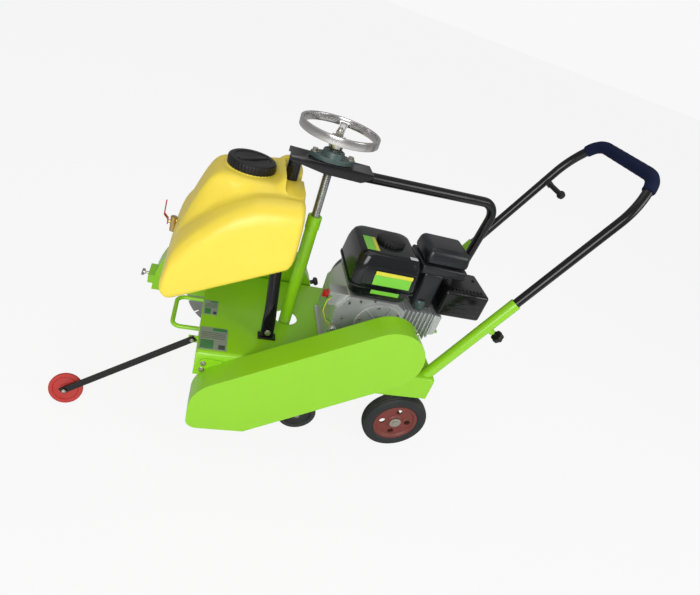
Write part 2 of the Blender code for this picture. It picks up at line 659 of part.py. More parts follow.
def depth_screw(machine):
    """The screw with its handwheel and dome nut, all turning together, and the tube it drives."""
    pivot = empty_at("screw pivot", (MAST_X, 0, 0), machine)
    shoulder = BRACKET_TOP - BRACKET_SHEET - 0.0035
    top = HANDWHEEL_TOP - 0.010
    profile = [(SCREW_R - 0.002, SCREW_BOTTOM), (SCREW_R, SCREW_BOTTOM + 0.004), (SCREW_R, shoulder),
               (SCREW_END_R, shoulder + 0.0005), (SCREW_END_R, top - 0.0130), (0.006, top - 0.0125), (0.006, top)]
    add_object("depth_screw", turned("screw", profile, (0, 0, 0), (0, 0, 1), 20), bare_steel(), pivot, smooth=True)
    inner = HANDWHEEL_R - HANDWHEEL_BAND_THICK
    low = HANDWHEEL_TOP - HANDWHEEL_BAND
    band = [(HANDWHEEL_R - 0.001, low), (HANDWHEEL_R, low + 0.004), (HANDWHEEL_R, HANDWHEEL_TOP - 0.004),
            (HANDWHEEL_R - 0.001, HANDWHEEL_TOP), (inner + 0.001, HANDWHEEL_TOP), (inner, low)]
    wheel = add_object("handwheel", turned("band", band, (0, 0, 0), (0, 0, 1), 48, hollow=True),
                       paint("chrome_plate", (0.62, 0.62, 0.62), 0.12, 1.0), pivot, smooth=True)
    foot = BRACKET_TOP + BEARING_HEIGHT + GAP + 0.004
    hub_top = HANDWHEEL_TOP - 0.022
    hub = turned("hub", [(0.015, foot), (0.018, foot + 0.010), (0.018, hub_top)], (0, 0, 0), (0, 0, 1), 24)
    spokes = []
    for i in range(HANDWHEEL_SPOKES):
        angle = HANDWHEEL_FIRST_SPOKE + 2 * math.pi * i / HANDWHEEL_SPOKES
        out, across = Vector((math.cos(angle), math.sin(angle), 0)), Vector((-math.sin(angle), math.cos(angle), 0))
        ends = []
        for reach, mid, half_w, half_h in ((0.012, hub_top - 0.008, 0.010, 0.0035), (inner + 0.004, low + 0.010, 0.008, 0.0035)):
            ends.append([out * reach + across * w + Vector((0, 0, mid + h))
                         for w, h in ((-half_w, -half_h), (half_w, -half_h), (half_w, half_h), (-half_w, half_h))])
        spokes.append(mesh_of(f"spoke {i}", *skin(ends, False)))
    join(wheel, hub, *spokes)
    cut(wheel, rod("hub bore", SCREW_END_R + GAP, (0, 0, 0.7), (0, 0, hub_top + 0.01)))
    nut_foot = hub_top + GAP
    nut = turned("dome nut", [(0.0095, nut_foot), (0.0095, nut_foot + 0.010), (0.0075, nut_foot + 0.017),
                              (0.003, nut_foot + 0.021)], (0, 0, 0), (0, 0, 1), 18)
    made = add_object("dome_nut", nut, bare_steel(), pivot)
    cut(made, rod("thread", 0.006 + GAP, (0, 0, nut_foot - 0.01), (0, 0, top + GAP), 18))


def lift_tube(machine):
    """The tube that the screw drives, with its nut collar and the slotted ears over the push bar."""
    lift = empty_at("lift axis", (MAST_X, 0, 0), machine)
    foot = LIFT_PIN_Z + 0.024
    inside = LIFT_TUBE_R - LIFT_TUBE_WALL
    bore = SCREW_R + RUN
    nut_low = LIFT_TUBE_TOP - 0.026
    collar = LIFT_TUBE_R + 0.0018
    profile = [(LIFT_TUBE_R, foot), (LIFT_TUBE_R, nut_low - 0.012), (collar, nut_low - 0.011), (collar, LIFT_TUBE_TOP - 0.002),
               (collar - 0.002, LIFT_TUBE_TOP), (bore, LIFT_TUBE_TOP), (bore, nut_low), (inside, nut_low - 0.001), (inside, foot)]
    tube = add_object("lift_tube", turned("tube", profile, (0, 0, 0), (0, 0, 1), 24, hollow=True), green_paint(), lift)
    shoe = block("shoe", (-0.030, -0.024, foot - 0.001), (0.030, 0.024, foot + 0.007))
    ears = []
    for sign in (-1, 1):
        ys = sorted((sign * 0.018, sign * 0.024))
        outline = [(-0.052, LIFT_PIN_Z - 0.024), (0.052, LIFT_PIN_Z - 0.024), (0.052, LIFT_PIN_Z + 0.020),
                   (0.030, foot + 0.006), (-0.030, foot + 0.006), (-0.052, LIFT_PIN_Z + 0.020)]
        ears.append(plate(f"ear {sign}", outline, "Y", *ys))
    join(tube, shoe, *ears)
    slot_half = LIFT_PIN_R + 0.006
    cut(tube, block("slot", (-0.044, -0.05, LIFT_PIN_Z - slot_half), (0.044, 0.05, LIFT_PIN_Z + slot_half)))


def struts(machine):
    """The black tubes that hold the screw bracket: one at its nose, one bent down behind the engine."""
    top = BRACKET_TOP - BRACKET_SHEET - GAP
    x, y = STRUT_FOOT
    corners = [(STRUT_X, 0, top), (STRUT_X, 0, 0.640), (x - 0.003, y + 0.012, 0.350), (x, y, DECK_TOP + 0.036)]
    front = add_object("front_strut", bent_rod("front tube", rounded_path(corners, 0.060, 3), STRUT_R, 16), black_paint(),
                       machine, smooth=True)
    base = DECK_TOP + GAP
    foot = plate("flat foot", [(x - 0.017, base + 0.004), (x + 0.017, base + 0.004), (x + 0.016, DECK_TOP + 0.060),
                               (x - 0.016, DECK_TOP + 0.060)], "Y", y - 0.006, y + 0.006)
    stand = block("foot stand", (x - 0.024, y - 0.012, base), (x + 0.024, y + 0.012, base + 0.006))
    join(front, foot, stand)
    start = Vector((BRACKET_REAR - 0.035, 0, BRACKET_TOP - BRACKET_SHEET - REAR_STRUT_R - GAP))
    x, y = REAR_STRUT_FOOT
    corners = [start, REAR_STRUT_BEND, (x, y, DECK_TOP - 0.005)]
    path = rounded_path(corners, 0.050, 6)
    rear = add_object("rear_strut", bent_rod("rear tube", path, REAR_STRUT_R, 16), black_paint(), machine, smooth=True)
    cut(rear, block("deck side", (x - 0.1, y - 0.1, DECK_TOP - 0.1), (x + 0.1, y + 0.1, DECK_TOP + GAP)))


# --- cutting head -------------------------------------------------------------------------------
def shaft_bearings(machine):
    """The two hangers under the deck with the bearings that the blade shaft runs in."""
    top = DECK_TOP - SHEET - GAP
    for word, sign in sides():
        middle = sign * SHAFT_BEARING_Y
        ys = middle - SHAFT_BEARING_WIDTH / 2, middle + SHAFT_BEARING_WIDTH / 2
        outline = [(BLADE_SHAFT_X - 0.048, top), (BLADE_SHAFT_X - 0.048, top - 0.012), (BLADE_SHAFT_X - 0.022, BLADE_SHAFT_Z),
                   (BLADE_SHAFT_X + 0.022, BLADE_SHAFT_Z), (BLADE_SHAFT_X + 0.048, top - 0.012), (BLADE_SHAFT_X + 0.048, top)]
        made = add_object(f"shaft_bearing_{word}", plate("hanger", outline, "Y", *ys), cast_alloy(), machine)
        centre = [(BLADE_SHAFT_X, y, BLADE_SHAFT_Z) for y in ys]
        join(made, rod("bearing ring", SHAFT_BEARING_R, (BLADE_SHAFT_X, ys[0] + 0.001, BLADE_SHAFT_Z),
                       (BLADE_SHAFT_X, ys[1] - 0.001, BLADE_SHAFT_Z), 28))
        cut(made, rod("shaft bore", BLADE_SHAFT_R + RUN, Vector(centre[0]) - Vector((0, 0.01, 0)),
                      Vector(centre[1]) + Vector((0, 0.01, 0))))


def blade_outline():
    """The slotted rim of a segmented diamond blade, as (x, z) points round its centre."""
    points = []
    step = 2 * math.pi / BLADE_SEGMENTS
    for i in range(BLADE_SEGMENTS):
        start = i * step
        points += [(BLADE_R * math.cos(start + step * t), BLADE_R * math.sin(start + step * t))
                   for t in (0.06, 0.35, 0.65, 0.94)]
        points += [((BLADE_R - 0.016) * math.cos(start + step * t), (BLADE_R - 0.016) * math.sin(start + step * t))
                   for t in (0.955, 1.045)]
    return points


def cutting_head(machine):
    """The blade shaft with its blade, flanges and driven pulley, all turning together."""
    pivot = empty_at("blade pivot", (BLADE_SHAFT_X, 0, BLADE_SHAFT_Z), machine)
    near = PULLEY_Y - PULLEY_WIDTH / 2 - 0.006
    far = BLADE_Y + BLADE_THICK / 2 + 0.022
    shaft = rod("shaft bar", BLADE_SHAFT_R, (0, near, 0), (0, far, 0))
    add_object("blade_shaft", shaft, bare_steel(), pivot, smooth=True)
    half = BLADE_THICK / 2
    blade = add_object("saw_blade", plate("blade disc", blade_outline(), "Y", BLADE_Y - half, BLADE_Y + half),
                       paint("blade_steel", (0.42, 0.43, 0.45), 0.3, 1.0), pivot)
    bore = BLADE_SHAFT_R + GAP
    cut(blade, rod("blade bore", bore, (0, BLADE_Y - 0.02, 0), (0, BLADE_Y + 0.02, 0)))
    for word, sign in (("inner", -1), ("outer", 1)):
        start = BLADE_Y + sign * (half + GAP)
        flange = turned("flange", [(BLADE_FLANGE_R, 0), (BLADE_FLANGE_R, 0.005), (0.020, 0.010), (bore, 0.010), (bore, 0)],
                        (0, start, 0), (0, sign, 0), 28, hollow=True)
        add_object(f"blade_flange_{word}", flange, bare_steel(), pivot)
    start = BLADE_Y + half + GAP + 0.010 + GAP
    nut = add_object("blade_nut", rod("nut", 0.020, (0, start, 0), (0, start + 0.010, 0), 6), bare_steel(), pivot)
    cut(nut, rod("nut thread", bore, (0, start - 0.01, 0), (0, start + 0.03, 0)))
    add_pulley("blade_pulley", BLADE_PULLEY_R, BLADE_SHAFT_R, pivot)


def add_pulley(name, radius, shaft_radius, pivot):
    """A two-groove belt pulley, simplified to one wide groove, centred on PULLEY_Y."""
    half = PULLEY_WIDTH / 2
    bore = shaft_radius + GAP
    groove = BELT_WIDTH / 2 + 0.001
    shape = [(bore, -half), (radius + 0.004, -half), (radius + 0.004, -groove), (radius - BELT_THICK, -groove),
             (radius - BELT_THICK, groove), (radius + 0.004, groove), (radius + 0.004, half), (bore, half)]
    pulley = turned(name, shape, (0, PULLEY_Y, 0), (0, 1, 0), 28, hollow=True)
    add_object(name, pulley, cast_alloy(), pivot)


def engine_shaft_z():
    return DECK_TOP + ENGINE_SHAFT_HEIGHT


def drive(machine):
    """The engine's shaft end and pulley, and the belt loop to the blade pulley."""
    pivot = empty_at("engine pivot", (ENGINE_SHAFT_X, 0, engine_shaft_z()), machine)
    near = PULLEY_Y - PULLEY_WIDTH / 2 - 0.004
    add_object("crankshaft", rod("crank end", ENGINE_SHAFT_R, (0, near, 0), (0, CASE_NEAR + 0.040, 0), 20), bare_steel(),
               pivot, smooth=True)
    add_pulley("engine_pulley", DRIVE_PULLEY_R, ENGINE_SHAFT_R, pivot)
    belt_ends = ((BLADE_SHAFT_X, BLADE_SHAFT_Z, BLADE_PULLEY_R), (ENGINE_SHAFT_X, engine_shaft_z(), DRIVE_PULLEY_R))
    rings = []
    for y in (PULLEY_Y - BELT_WIDTH / 2, PULLEY_Y + BELT_WIDTH / 2):
        rings.append([Vector((x, y, z)) for x, z in belt_outline(belt_ends, GAP + 0.001)])
    outer = mesh_of("belt outside", *skin(rings, False))
    belt = add_object("drive_belt", outer, black_rubber(), machine)
    rings = []
    for y in (PULLEY_Y - BELT_WIDTH, PULLEY_Y + BELT_WIDTH):
        rings.append([Vector((x, y, z)) for x, z in belt_outline(belt_ends, GAP - BELT_THICK)])
    cut(belt, mesh_of("belt inside", *skin(rings, False)))


def belt_outline(ends, grow, steps=16):
    """The stretched loop round two circles of (x, z, radius), each grown by a margin."""
    (x0, z0, r0), (x1, z1, r1) = ends
    slope = math.atan2(z1 - z0, x1 - x0)
    lean = math.acos((r0 - r1) / math.hypot(x1 - x0, z1 - z0))
    points = []
    for (x, z, r), first, wide in (((x0, z0, r0), slope + lean, 2 * math.pi - 2 * lean),
                                   ((x1, z1, r1), slope - lean, 2 * lean)):
        for i in range(steps + 1):
            a = first + wide * i / steps
            points.append((x + (r + grow) * math.cos(a), z + (r + grow) * math.sin(a)))
    return points


def arc(x, z, radius, first, last, steps):
    """Points on an arc in the X-Z plane, from one angle to another."""
    angles = [first + (last - first) * i / steps for i in range(steps + 1)]
    return [(x + radius * math.cos(a), z + radius * math.sin(a)) for a in angles]


def pill_outline(grow):
    """The belt guard's side view: round over both shafts, with a tighter corner and a flat under its front end."""
    rise = engine_shaft_z() - BLADE_SHAFT_Z
    slope = math.atan2(rise, ENGINE_SHAFT_X - BLADE_SHAFT_X)
    radius, corner, flat = BELT_GUARD_R + grow, BELT_GUARD_CORNER_R + grow, BELT_GUARD_FLAT_Z - grow
    corner_x = BLADE_SHAFT_X - BELT_GUARD_R + BELT_GUARD_CORNER_R
    touch_x, touch_z = BLADE_SHAFT_X + radius * math.sin(slope), BLADE_SHAFT_Z - radius * math.cos(slope)
    flat_end = touch_x + (flat - touch_z) / math.tan(slope)
    return (arc(BLADE_SHAFT_X, BLADE_SHAFT_Z, radius, slope + math.pi / 2, math.pi, 10)
            + arc(corner_x, flat + corner, corner, math.pi, 1.5 * math.pi, 7) + [(flat_end, flat)]
            + arc(ENGINE_SHAFT_X, engine_shaft_z(), radius, slope - math.pi / 2, slope + math.pi / 2, 18))


def belt_guard(machine):
    """The pill-shaped pressed cover over the belt, open towards the deck, with its front tab."""
    inner_y = -DECK_HALF_WIDTH - GAP
    rings = [[Vector((x, y, z)) for x, z in pill_outline(0)] for y in (BELT_GUARD_FACE_Y, inner_y)]
    guard = add_object("belt_guard", mesh_of("guard outside", *skin(rings, False)), green_paint(), machine)
    inside = [[Vector((x, y, z)) for x, z in pill_outline(-BELT_GUARD_SHEET)]
              for y in (BELT_GUARD_FACE_Y + BELT_GUARD_SHEET, inner_y + 0.01)]
    cut(guard, mesh_of("guard inside", *skin(inside, False)))
    ys = inner_y - BELT_GUARD_SHEET, inner_y
    tab = plate("front tab", [(-0.116, 0.214), (-0.060, 0.214), (-0.060, 0.262), (-0.104, 0.266), (-0.116, 0.256)], "Y", *ys)
    join(guard, tab)


def blade_guard(machine):
    """The half-round cover over the blade; it tips up about the shaft to change the blade."""
    pivot = empty_at("guard pivot", (BLADE_SHAFT_X, 0, BLADE_SHAFT_Z), machine)

    def half_disc(radius, low):
        arc = [math.pi * i / 28 for i in range(29)]
        points = [(-BLADE_GUARD_AHEAD + radius * math.cos(a), radius * math.sin(a)) for a in arc]
        return points + [(-BLADE_GUARD_AHEAD - radius, low), (-BLADE_GUARD_AHEAD + radius, low)]
    shell = plate("guard shell", half_disc(BLADE_GUARD_R, -0.004), "Y", BLADE_GUARD_INNER_Y, BLADE_GUARD_OUTER_Y)
    made = add_object("blade_guard", shell, green_paint(), pivot)
    front = -BLADE_GUARD_AHEAD - BLADE_GUARD_R
    holder = block("screw block", (front - 0.014, BLADE_GUARD_INNER_Y + 0.0005, 0.018),
                   (front + 0.040, BLADE_GUARD_OUTER_Y - 0.0005, 0.046))
    join(made, holder)
    wall = BLADE_GUARD_SHEET
    cut(made, plate("guard hollow", half_disc(BLADE_GUARD_R - wall, -0.021), "Y", BLADE_GUARD_INNER_Y + wall,
                    BLADE_GUARD_OUTER_Y - wall),
        rod("shaft notch", 0.024, (0, BLADE_GUARD_INNER_Y - 0.01, 0), (0, BLADE_GUARD_INNER_Y + 0.01, 0), 23))
    at = Vector((front - 0.014 - GAP, (BLADE_GUARD_INNER_Y + BLADE_GUARD_OUTER_Y) / 2, 0.032))
    ahead = Vector((-1, 0, 0))
    thumb = add_object("wing_screw", turned("screw shank", [(0.004, 0), (0.004, 0.010), (0.006, 0.0105), (0.006, 0.018)],
                                            (0, 0, 0), ahead, 16), bare_steel(), empty_at("wing pivot", at, pivot))
    join(thumb, block("wings", (-0.0215, -0.017, -0.0018), (-0.013, 0.017, 0.0018)))
    rear = Vector((-BLADE_GUARD_AHEAD + BLADE_GUARD_R * math.cos(math.radians(24)), 0, BLADE_GUARD_R * math.sin(math.radians(24))))
    out = Vector((math.cos(math.radians(24)), 0, math.sin(math.radians(24))))
    start = rear + out * GAP + Vector((0, BLADE_GUARD_INNER_Y + 0.030, 0))
    knob = turned("knob", [(0.007, 0), (0.007, 0.010), (0.014, 0.013), (0.014, 0.021), (0.009, 0.026)], start, out, 20)
    add_object("guard_knob", knob, black_rubber(), pivot, smooth=True)


# --- water --------------------------------------------------------------------------------------
def water_tank(machine):
    """The saddle tank, with its rear channel round the strut, its cap and its tap."""
    half, shoulder = TANK_HALF_WIDTH, TANK_SHOULDER_HALF
    points = []
    for sign in (-1, 1):
        points += [(-0.222, sign * (half - 0.012), 0.432), (0.055, sign * (half - 0.012), 0.548),
                   (0.046, sign * half, 0.668), (-0.182, sign * half, 0.590), (-0.214, sign * half, 0.470),
                   (0.053, sign * half, 0.575), (-0.158, sign * shoulder, TANK_TOP - 0.010),
                   (0.040, sign * shoulder, TANK_TOP - 0.002)]
    tank = add_object("water_tank", hull("tank", points), paint("yellow_plastic", (0.93, 0.80, 0.13), 0.4), machine)
    crest = hull("rear crest", [(x, y, z) for y in (-shoulder + 0.006, shoulder - 0.006)
                                for x, z in ((-0.014, 0.680), (-0.009, 0.707), (0.010, TANK_CREST), (0.032, TANK_CREST),
                                             (0.035, 0.680))])
    soften(tank, 0.012, 2)
    join(tank, crest)
    room = STRUT_R + 0.004
    x, y = STRUT_FOOT
    upper = [(-room, 0.610), (room, 0.610), (room, 0.800), (-room, 0.800)]
    lower = [(y - 0.020, 0.380), (y + 0.070, 0.380), (room, 0.660), (-room, 0.660)]
    cut(tank, plate("upper channel", upper, "X", STRUT_X - room, 0.1), plate("lower channel", lower, "X", STRUT_X - room, 0.1))
    x, y, z = TAP_AT
    cut(tank, rod("inlet hole", TAP_INLET_R + GAP, (x, y, z + 0.006), (x + 0.035, y, z + 0.006), 12))
    seat = TANK_TOP + GAP
    join(tank, rod("neck", TANK_CAP_R - 0.008, (TANK_CAP_X, 0, TANK_TOP - 0.030), (TANK_CAP_X, 0, TANK_TOP + 0.010), 32))
    pivot = empty_at("cap pivot", (TANK_CAP_X, 0, seat), machine)
    inside = TANK_CAP_R - 0.008 + RUN + GAP
    cap = turned("cap", [(TANK_CAP_R, 0), (TANK_CAP_R, TANK_CAP_HEIGHT - 0.003), (TANK_CAP_R - 0.004, TANK_CAP_HEIGHT)],
                 (0, 0, 0), (0, 0, 1), 36)
    made = add_object("tank_cap", cap, black_plastic(), pivot)
    cut(made, rod("cap recess", inside, (0, 0, -0.01), (0, 0, 0.0115), 32))


def water_tap(machine):
    """The ball tap on the tank's nose: its red lever turns a quarter turn about the stem."""
    x, y, z = TAP_AT
    body = add_object("tap_body", rod("tap barrel", 0.0085, (x, y, z - 0.026), (x, y, z + 0.016), 16),
                      paint("brass", (0.55, 0.40, 0.16), 0.35, 1.0), machine)
    join(body, rod("tap stem", 0.0045, (x, y, z), (x - 0.013, y, z), 12),
         rod("tap inlet", TAP_INLET_R, (x, y, z + 0.006), (x + 0.034, y, z + 0.006), 12))
    pivot = empty_at("tap pivot", (x - 0.013 - GAP, y, z), machine)
    side_view = [(0, -0.007), (0, 0.008), (-0.010, 0.020), (-0.008, 0.058), (-0.0105, 0.058), (-0.0125, 0.019),
                 (-0.0025, 0.007), (-0.0025, -0.007)]
    add_object("tap_lever", plate("lever strip", side_view, "Y", -0.006, 0.006),
               paint("red_lever", (0.50, 0.04, 0.03), 0.4), pivot)


# --- engine -------------------------------------------------------------------------------------
def engine(machine):
    """The single-cylinder engine's castings, tank, filter, muffler, recoil starter and controls."""
    base = DECK_TOP + GAP
    top = DECK_TOP + CASE_HEIGHT
    outline = [(CASE_FRONT + 0.010, base), (CASE_REAR, base), (CASE_REAR, top - 0.020), (CASE_REAR - 0.030, top),
               (CASE_FRONT + 0.030, top), (CASE_FRONT, top - 0.050), (CASE_FRONT, base + 0.030)]
    case = add_object("engine_case", plate("case", outline, "Y", CASE_NEAR, CASE_FAR), cast_alloy(), machine)
    z = engine_shaft_z()
    cover = rod("shaft boss", 0.030, (ENGINE_SHAFT_X, CASE_NEAR - 0.012, z), (ENGINE_SHAFT_X, CASE_NEAR + 0.01, z), 24)
    feet = block("feet", (CASE_FRONT - 0.008, CASE_NEAR - 0.004, base), (CASE_REAR + 0.008, CASE_FAR, base + 0.010))
    face, y, level = SWITCH_AT
    box = block("switch box", (face, y - 0.021, level - 0.021), (CASE_FRONT + 0.040, y + 0.021, level + 0.019))
    x, level = THROTTLE_AT
    tab = block("throttle tab", (x - 0.030, CASE_FAR - 0.010, level - 0.030), (x + 0.007, CASE_FAR - 0.001, level + 0.008))
    pin = rod("throttle pin", 0.003, (x, CASE_FAR - 0.005, level), (x, CASE_FAR + 0.006, level), 12)
    join(case, cover, feet, box, tab, pin)
    cut(case, rod("shaft hole", ENGINE_SHAFT_R + RUN, (ENGINE_SHAFT_X, CASE_NEAR - 0.03, z),
                  (ENGINE_SHAFT_X, CASE_NEAR + 0.045, z), 20))

    start = CASE_REAR + GAP
    head = add_object("cylinder_head", block("cylinder", (start, -0.066, 0.335), (start + 0.105, 0.048, 0.425)),
                      cast_alloy(), machine)
    join(head, block("head", (start + 0.100, -0.072, 0.330), (start + 0.150, 0.052, 0.422)))
    fins = [block(f"fin gap {i}", (start + 0.014 + 0.014 * i, -0.080, 0.30), (start + 0.0205 + 0.014 * i, -0.058, 0.44))
            for i in range(6)]
    cut(head, *fins)

    low, seam, high = top + GAP, FUEL_TANK_SEAM, FUEL_TANK_TOP
    front, rear = FUEL_TANK_FRONT, FUEL_TANK_FRONT + FUEL_TANK_LENGTH
    near, far = FUEL_TANK_NEAR, FUEL_TANK_FAR
    shell = []
    for inset, level in ((0.020, low), (0.008, seam)):
        shell.append([Vector((x, y, level)) for x, y in ((front + inset, near + inset), (rear - inset, near + inset),
                                                        (rear - inset, far - inset), (front + inset, far - inset))])
    upper = [(0.006, seam), (0.008, high - 0.040), (0.030, high)]
    shell += [[Vector((x, y, level)) for x, y in ((front + inset, near + inset), (rear - inset, near + inset),
                                                 (rear - inset, far - inset), (front + inset, far - inset))]
              for inset, level in upper[1:]]
    tank = add_object("fuel_tank", mesh_of("fuel shell", *skin(shell, False)), black_plastic(), machine)
    join(tank, block("seam", (front, near, seam - 0.002), (rear, far, seam + 0.002)))
    cap_at = Vector((0.320, -0.022, high + GAP))
    pivot = empty_at("fuel cap pivot", cap_at, machine)
    cap = turned("fuel cap top", [(FUEL_CAP_R, 0), (FUEL_CAP_R, 0.010), (FUEL_CAP_R - 0.005, 0.014)], (0, 0, 0), (0, 0, 1), 28)
    add_object("fuel_cap", cap, black_plastic(), pivot)

    box = add_object("air_filter", block("filter box", (0.420, -0.046, 0.545), (0.560, 0.062, 0.622)),
                     paint("navy_plastic", (0.014, 0.015, 0.022), 0.35), machine)
    soften(box, 0.014, 2)
    join(box, block("filter elbow", (0.436, -0.060, 0.432), (0.500, 0.034, 0.555)))

    muffler = add_object("muffler", block("muffler guard", (0.513, -0.078, 0.4285), (0.655, 0.052, 0.516)), black_plastic(),
                         machine)
    soften(muffler, 0.008, 2)

    start = CASE_FAR + GAP
    cover = [(RECOIL_R, 0), (RECOIL_R, 0.030), (RECOIL_R - 0.012, 0.048), (0.055, RECOIL_DEPTH - 0.006), (0.050, RECOIL_DEPTH)]
    recoil = add_object("recoil_cover", turned("recoil", cover, (ENGINE_SHAFT_X - 0.018, start, z + 0.004), (0, 1, 0), 32),
                        black_plastic(), machine)
    cut(recoil, block("deck side", (0.2, 0.0, 0.2), (0.5, 0.2, base)))
    grip_at = Vector((ENGINE_SHAFT_X + 0.050, start + 0.036, z + RECOIL_R + 0.004))
    grip = block("pull", (-0.020, -0.007, 0), (0.020, 0.007, 0.014))
    pull = add_object("starter_grip", grip, black_plastic(), empty_at("starter axis", grip_at, machine))
    soften(pull, 0.004, 2)

    face = SWITCH_AT[0]
    switch = turned("switch dial", [(0.013, 0), (0.013, 0.003), (0.010, 0.004), (0.010, 0.008)], (0, 0, 0), (-1, 0, 0), 16)
    made = add_object("engine_switch", switch, paint("red_plastic", (0.55, 0.02, 0.02), 0.35),
                      empty_at("switch pivot", (face - GAP, *SWITCH_AT[1:]), machine))
    join(made, block("dial grip", (-0.014, -0.0028, -0.0105), (-0.005, 0.0028, 0.0105)))
    lever = add_object("throttle_lever", washer("lever eye", 0.0080, 0.0030 + RUN, (0, GAP, 0), (0, GAP + 0.004, 0), 12),
                       black_paint(), empty_at("throttle pivot", (THROTTLE_AT[0], CASE_FAR, THROTTLE_AT[1]), machine))
    join(lever, block("lever arm", (-0.003, GAP + 0.0005, 0.006), (0.003, GAP + 0.0035, 0.052)))


# --- pointer ------------------------------------------------------------------------------------
def pointer(machine):
    """The guide arm at the nose, which folds up, with its leaned wheel on the floor."""
    hinge = Vector((POINTER_HINGE_X, POINTER_Y, POINTER_HINGE_Z))
    pivot = empty_at("pointer pivot", hinge, machine)
    pin_way = Vector((0, math.cos(POINTER_LEAN), -math.sin(POINTER_LEAN)))
    far = POINTER_WHEEL_OFF + POINTER_WHEEL_THICK
    tip_z = POINTER_WHEEL_R * math.cos(POINTER_LEAN) + far * math.sin(POINTER_LEAN) + GAP
    tip = Vector((POINTER_WHEEL_X, POINTER_Y, tip_z)) - hinge
    way = tip.normalized()
    across = Vector((way.z, 0, -way.x))
    half = POINTER_BAR_WIDTH / 2
    ends = -0.008, tip.length + 0.010
    corners = [(ends[0], -half), (ends[1], -half), (ends[1], half), (ends[0], half)]
    outline = [way * a + across * b for a, b in corners]
    bar = plate("bar", [(p.x, p.z) for p in outline], "Y", -POINTER_BAR_THICK / 2, POINTER_BAR_THICK / 2)
    arm = add_object("pointer_arm", bar, black_paint(), pivot)
    head = POINTER_BAR_THICK / 2 + 0.003
    reach = POINTER_BAR_THICK / 2 + GAP + POINTER_LUG_THICK + 0.0015
    join(arm, rod("hinge head", 0.0065, (0, -head, 0), (0, 0, 0), 12),
         rod("hinge pin", 0.004, (0, -0.001, 0), (0, reach, 0), 12),
         rod("wheel pin", 0.004, tip - pin_way * 0.001, tip + pin_way * (far + 0.002), 12),
         rod("wheel spacer", 0.0065, tip - pin_way * 0.0005, tip + pin_way * (POINTER_WHEEL_OFF - GAP), 12),
         rod("wheel pin head", 0.0065, tip + Vector((0, -head, 0)), tip, 12))
    shape = [(0.004 + RUN, POINTER_WHEEL_OFF), (POINTER_WHEEL_R - 0.001, POINTER_WHEEL_OFF),
             (POINTER_WHEEL_R, POINTER_WHEEL_OFF + 0.0015), (POINTER_WHEEL_R, far - 0.0015),
             (POINTER_WHEEL_R - 0.001, far), (0.004 + RUN, far)]
    wheel = turned("wheel", shape, (0, 0, 0), (0, 1, 0), WHEEL_STEPS, hollow=True, turn=math.pi / WHEEL_STEPS)
    tilted = empty_at("tip", tip, pivot)
    tilted.rotation_euler = (-POINTER_LEAN, 0, 0)
    add_object("pointer_wheel", wheel, paint("red_plastic_wheel", (0.53, 0.03, 0.015), 0.45), tilted)


def main():
    clear_scene()
    machine = empty_at("machine", (-MACHINE_MIDDLE_X, 0, 0), None)
    chassis_deck(machine)
    lift_handle(machine)
    axle_plates(machine)
    cross_rods(machine)
    handle_sockets(machine)
    clamp_knobs(machine)
    push_handle(machine)
    rear_wheels(machine)
    swing_frame(machine)
    screw_bracket(machine)
    bearing_housing(machine)
    depth_screw(machine)
    lift_tube(machine)
    struts(machine)
    shaft_bearings(machine)
    cutting_head(machine)
    drive(machine)
    belt_guard(machine)
    blade_guard(machine)
    water_tank(machine)
    water_tap(machine)
    engine(machine)
    pointer(machine)


main()
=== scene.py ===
"""Finishes the walk-behind concrete saw: smooth pressed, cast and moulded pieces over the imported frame.

Lengths are in metres. +X runs to the operator, +Y to the blade side, +Z up, with the floor at z = 0.
"""

import json
import math

import bmesh
import bpy
import numpy as np
from mathutils import Matrix, Vector

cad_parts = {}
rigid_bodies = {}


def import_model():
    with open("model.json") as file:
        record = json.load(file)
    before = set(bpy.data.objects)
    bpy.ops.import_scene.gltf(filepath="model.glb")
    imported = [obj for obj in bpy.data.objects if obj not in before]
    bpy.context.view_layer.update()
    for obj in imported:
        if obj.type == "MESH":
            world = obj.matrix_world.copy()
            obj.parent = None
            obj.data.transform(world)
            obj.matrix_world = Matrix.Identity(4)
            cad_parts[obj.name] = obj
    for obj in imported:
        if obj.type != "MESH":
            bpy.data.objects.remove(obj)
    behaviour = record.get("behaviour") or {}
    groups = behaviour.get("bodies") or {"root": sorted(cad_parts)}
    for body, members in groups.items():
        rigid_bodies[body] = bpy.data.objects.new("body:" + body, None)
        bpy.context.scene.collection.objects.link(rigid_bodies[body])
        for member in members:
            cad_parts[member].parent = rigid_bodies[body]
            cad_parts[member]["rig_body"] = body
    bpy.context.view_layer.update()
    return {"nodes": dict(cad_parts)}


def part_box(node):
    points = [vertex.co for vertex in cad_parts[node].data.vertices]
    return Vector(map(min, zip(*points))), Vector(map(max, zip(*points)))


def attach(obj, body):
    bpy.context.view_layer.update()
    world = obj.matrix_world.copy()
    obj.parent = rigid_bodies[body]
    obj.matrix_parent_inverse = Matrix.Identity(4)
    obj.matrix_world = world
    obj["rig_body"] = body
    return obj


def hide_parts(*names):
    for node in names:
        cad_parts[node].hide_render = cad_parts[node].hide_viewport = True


bl_info = {
    "name": "Concrete saw finish",
    "version": (1, 0, 0),
    "blender": (4, 5, 0),
    "location": "3D View > Sidebar > Saw",
    "description": "Builds the finished pieces and materials of a walk-behind concrete saw",
    "category": "Object",
}

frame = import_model()
NODES = frame["nodes"]

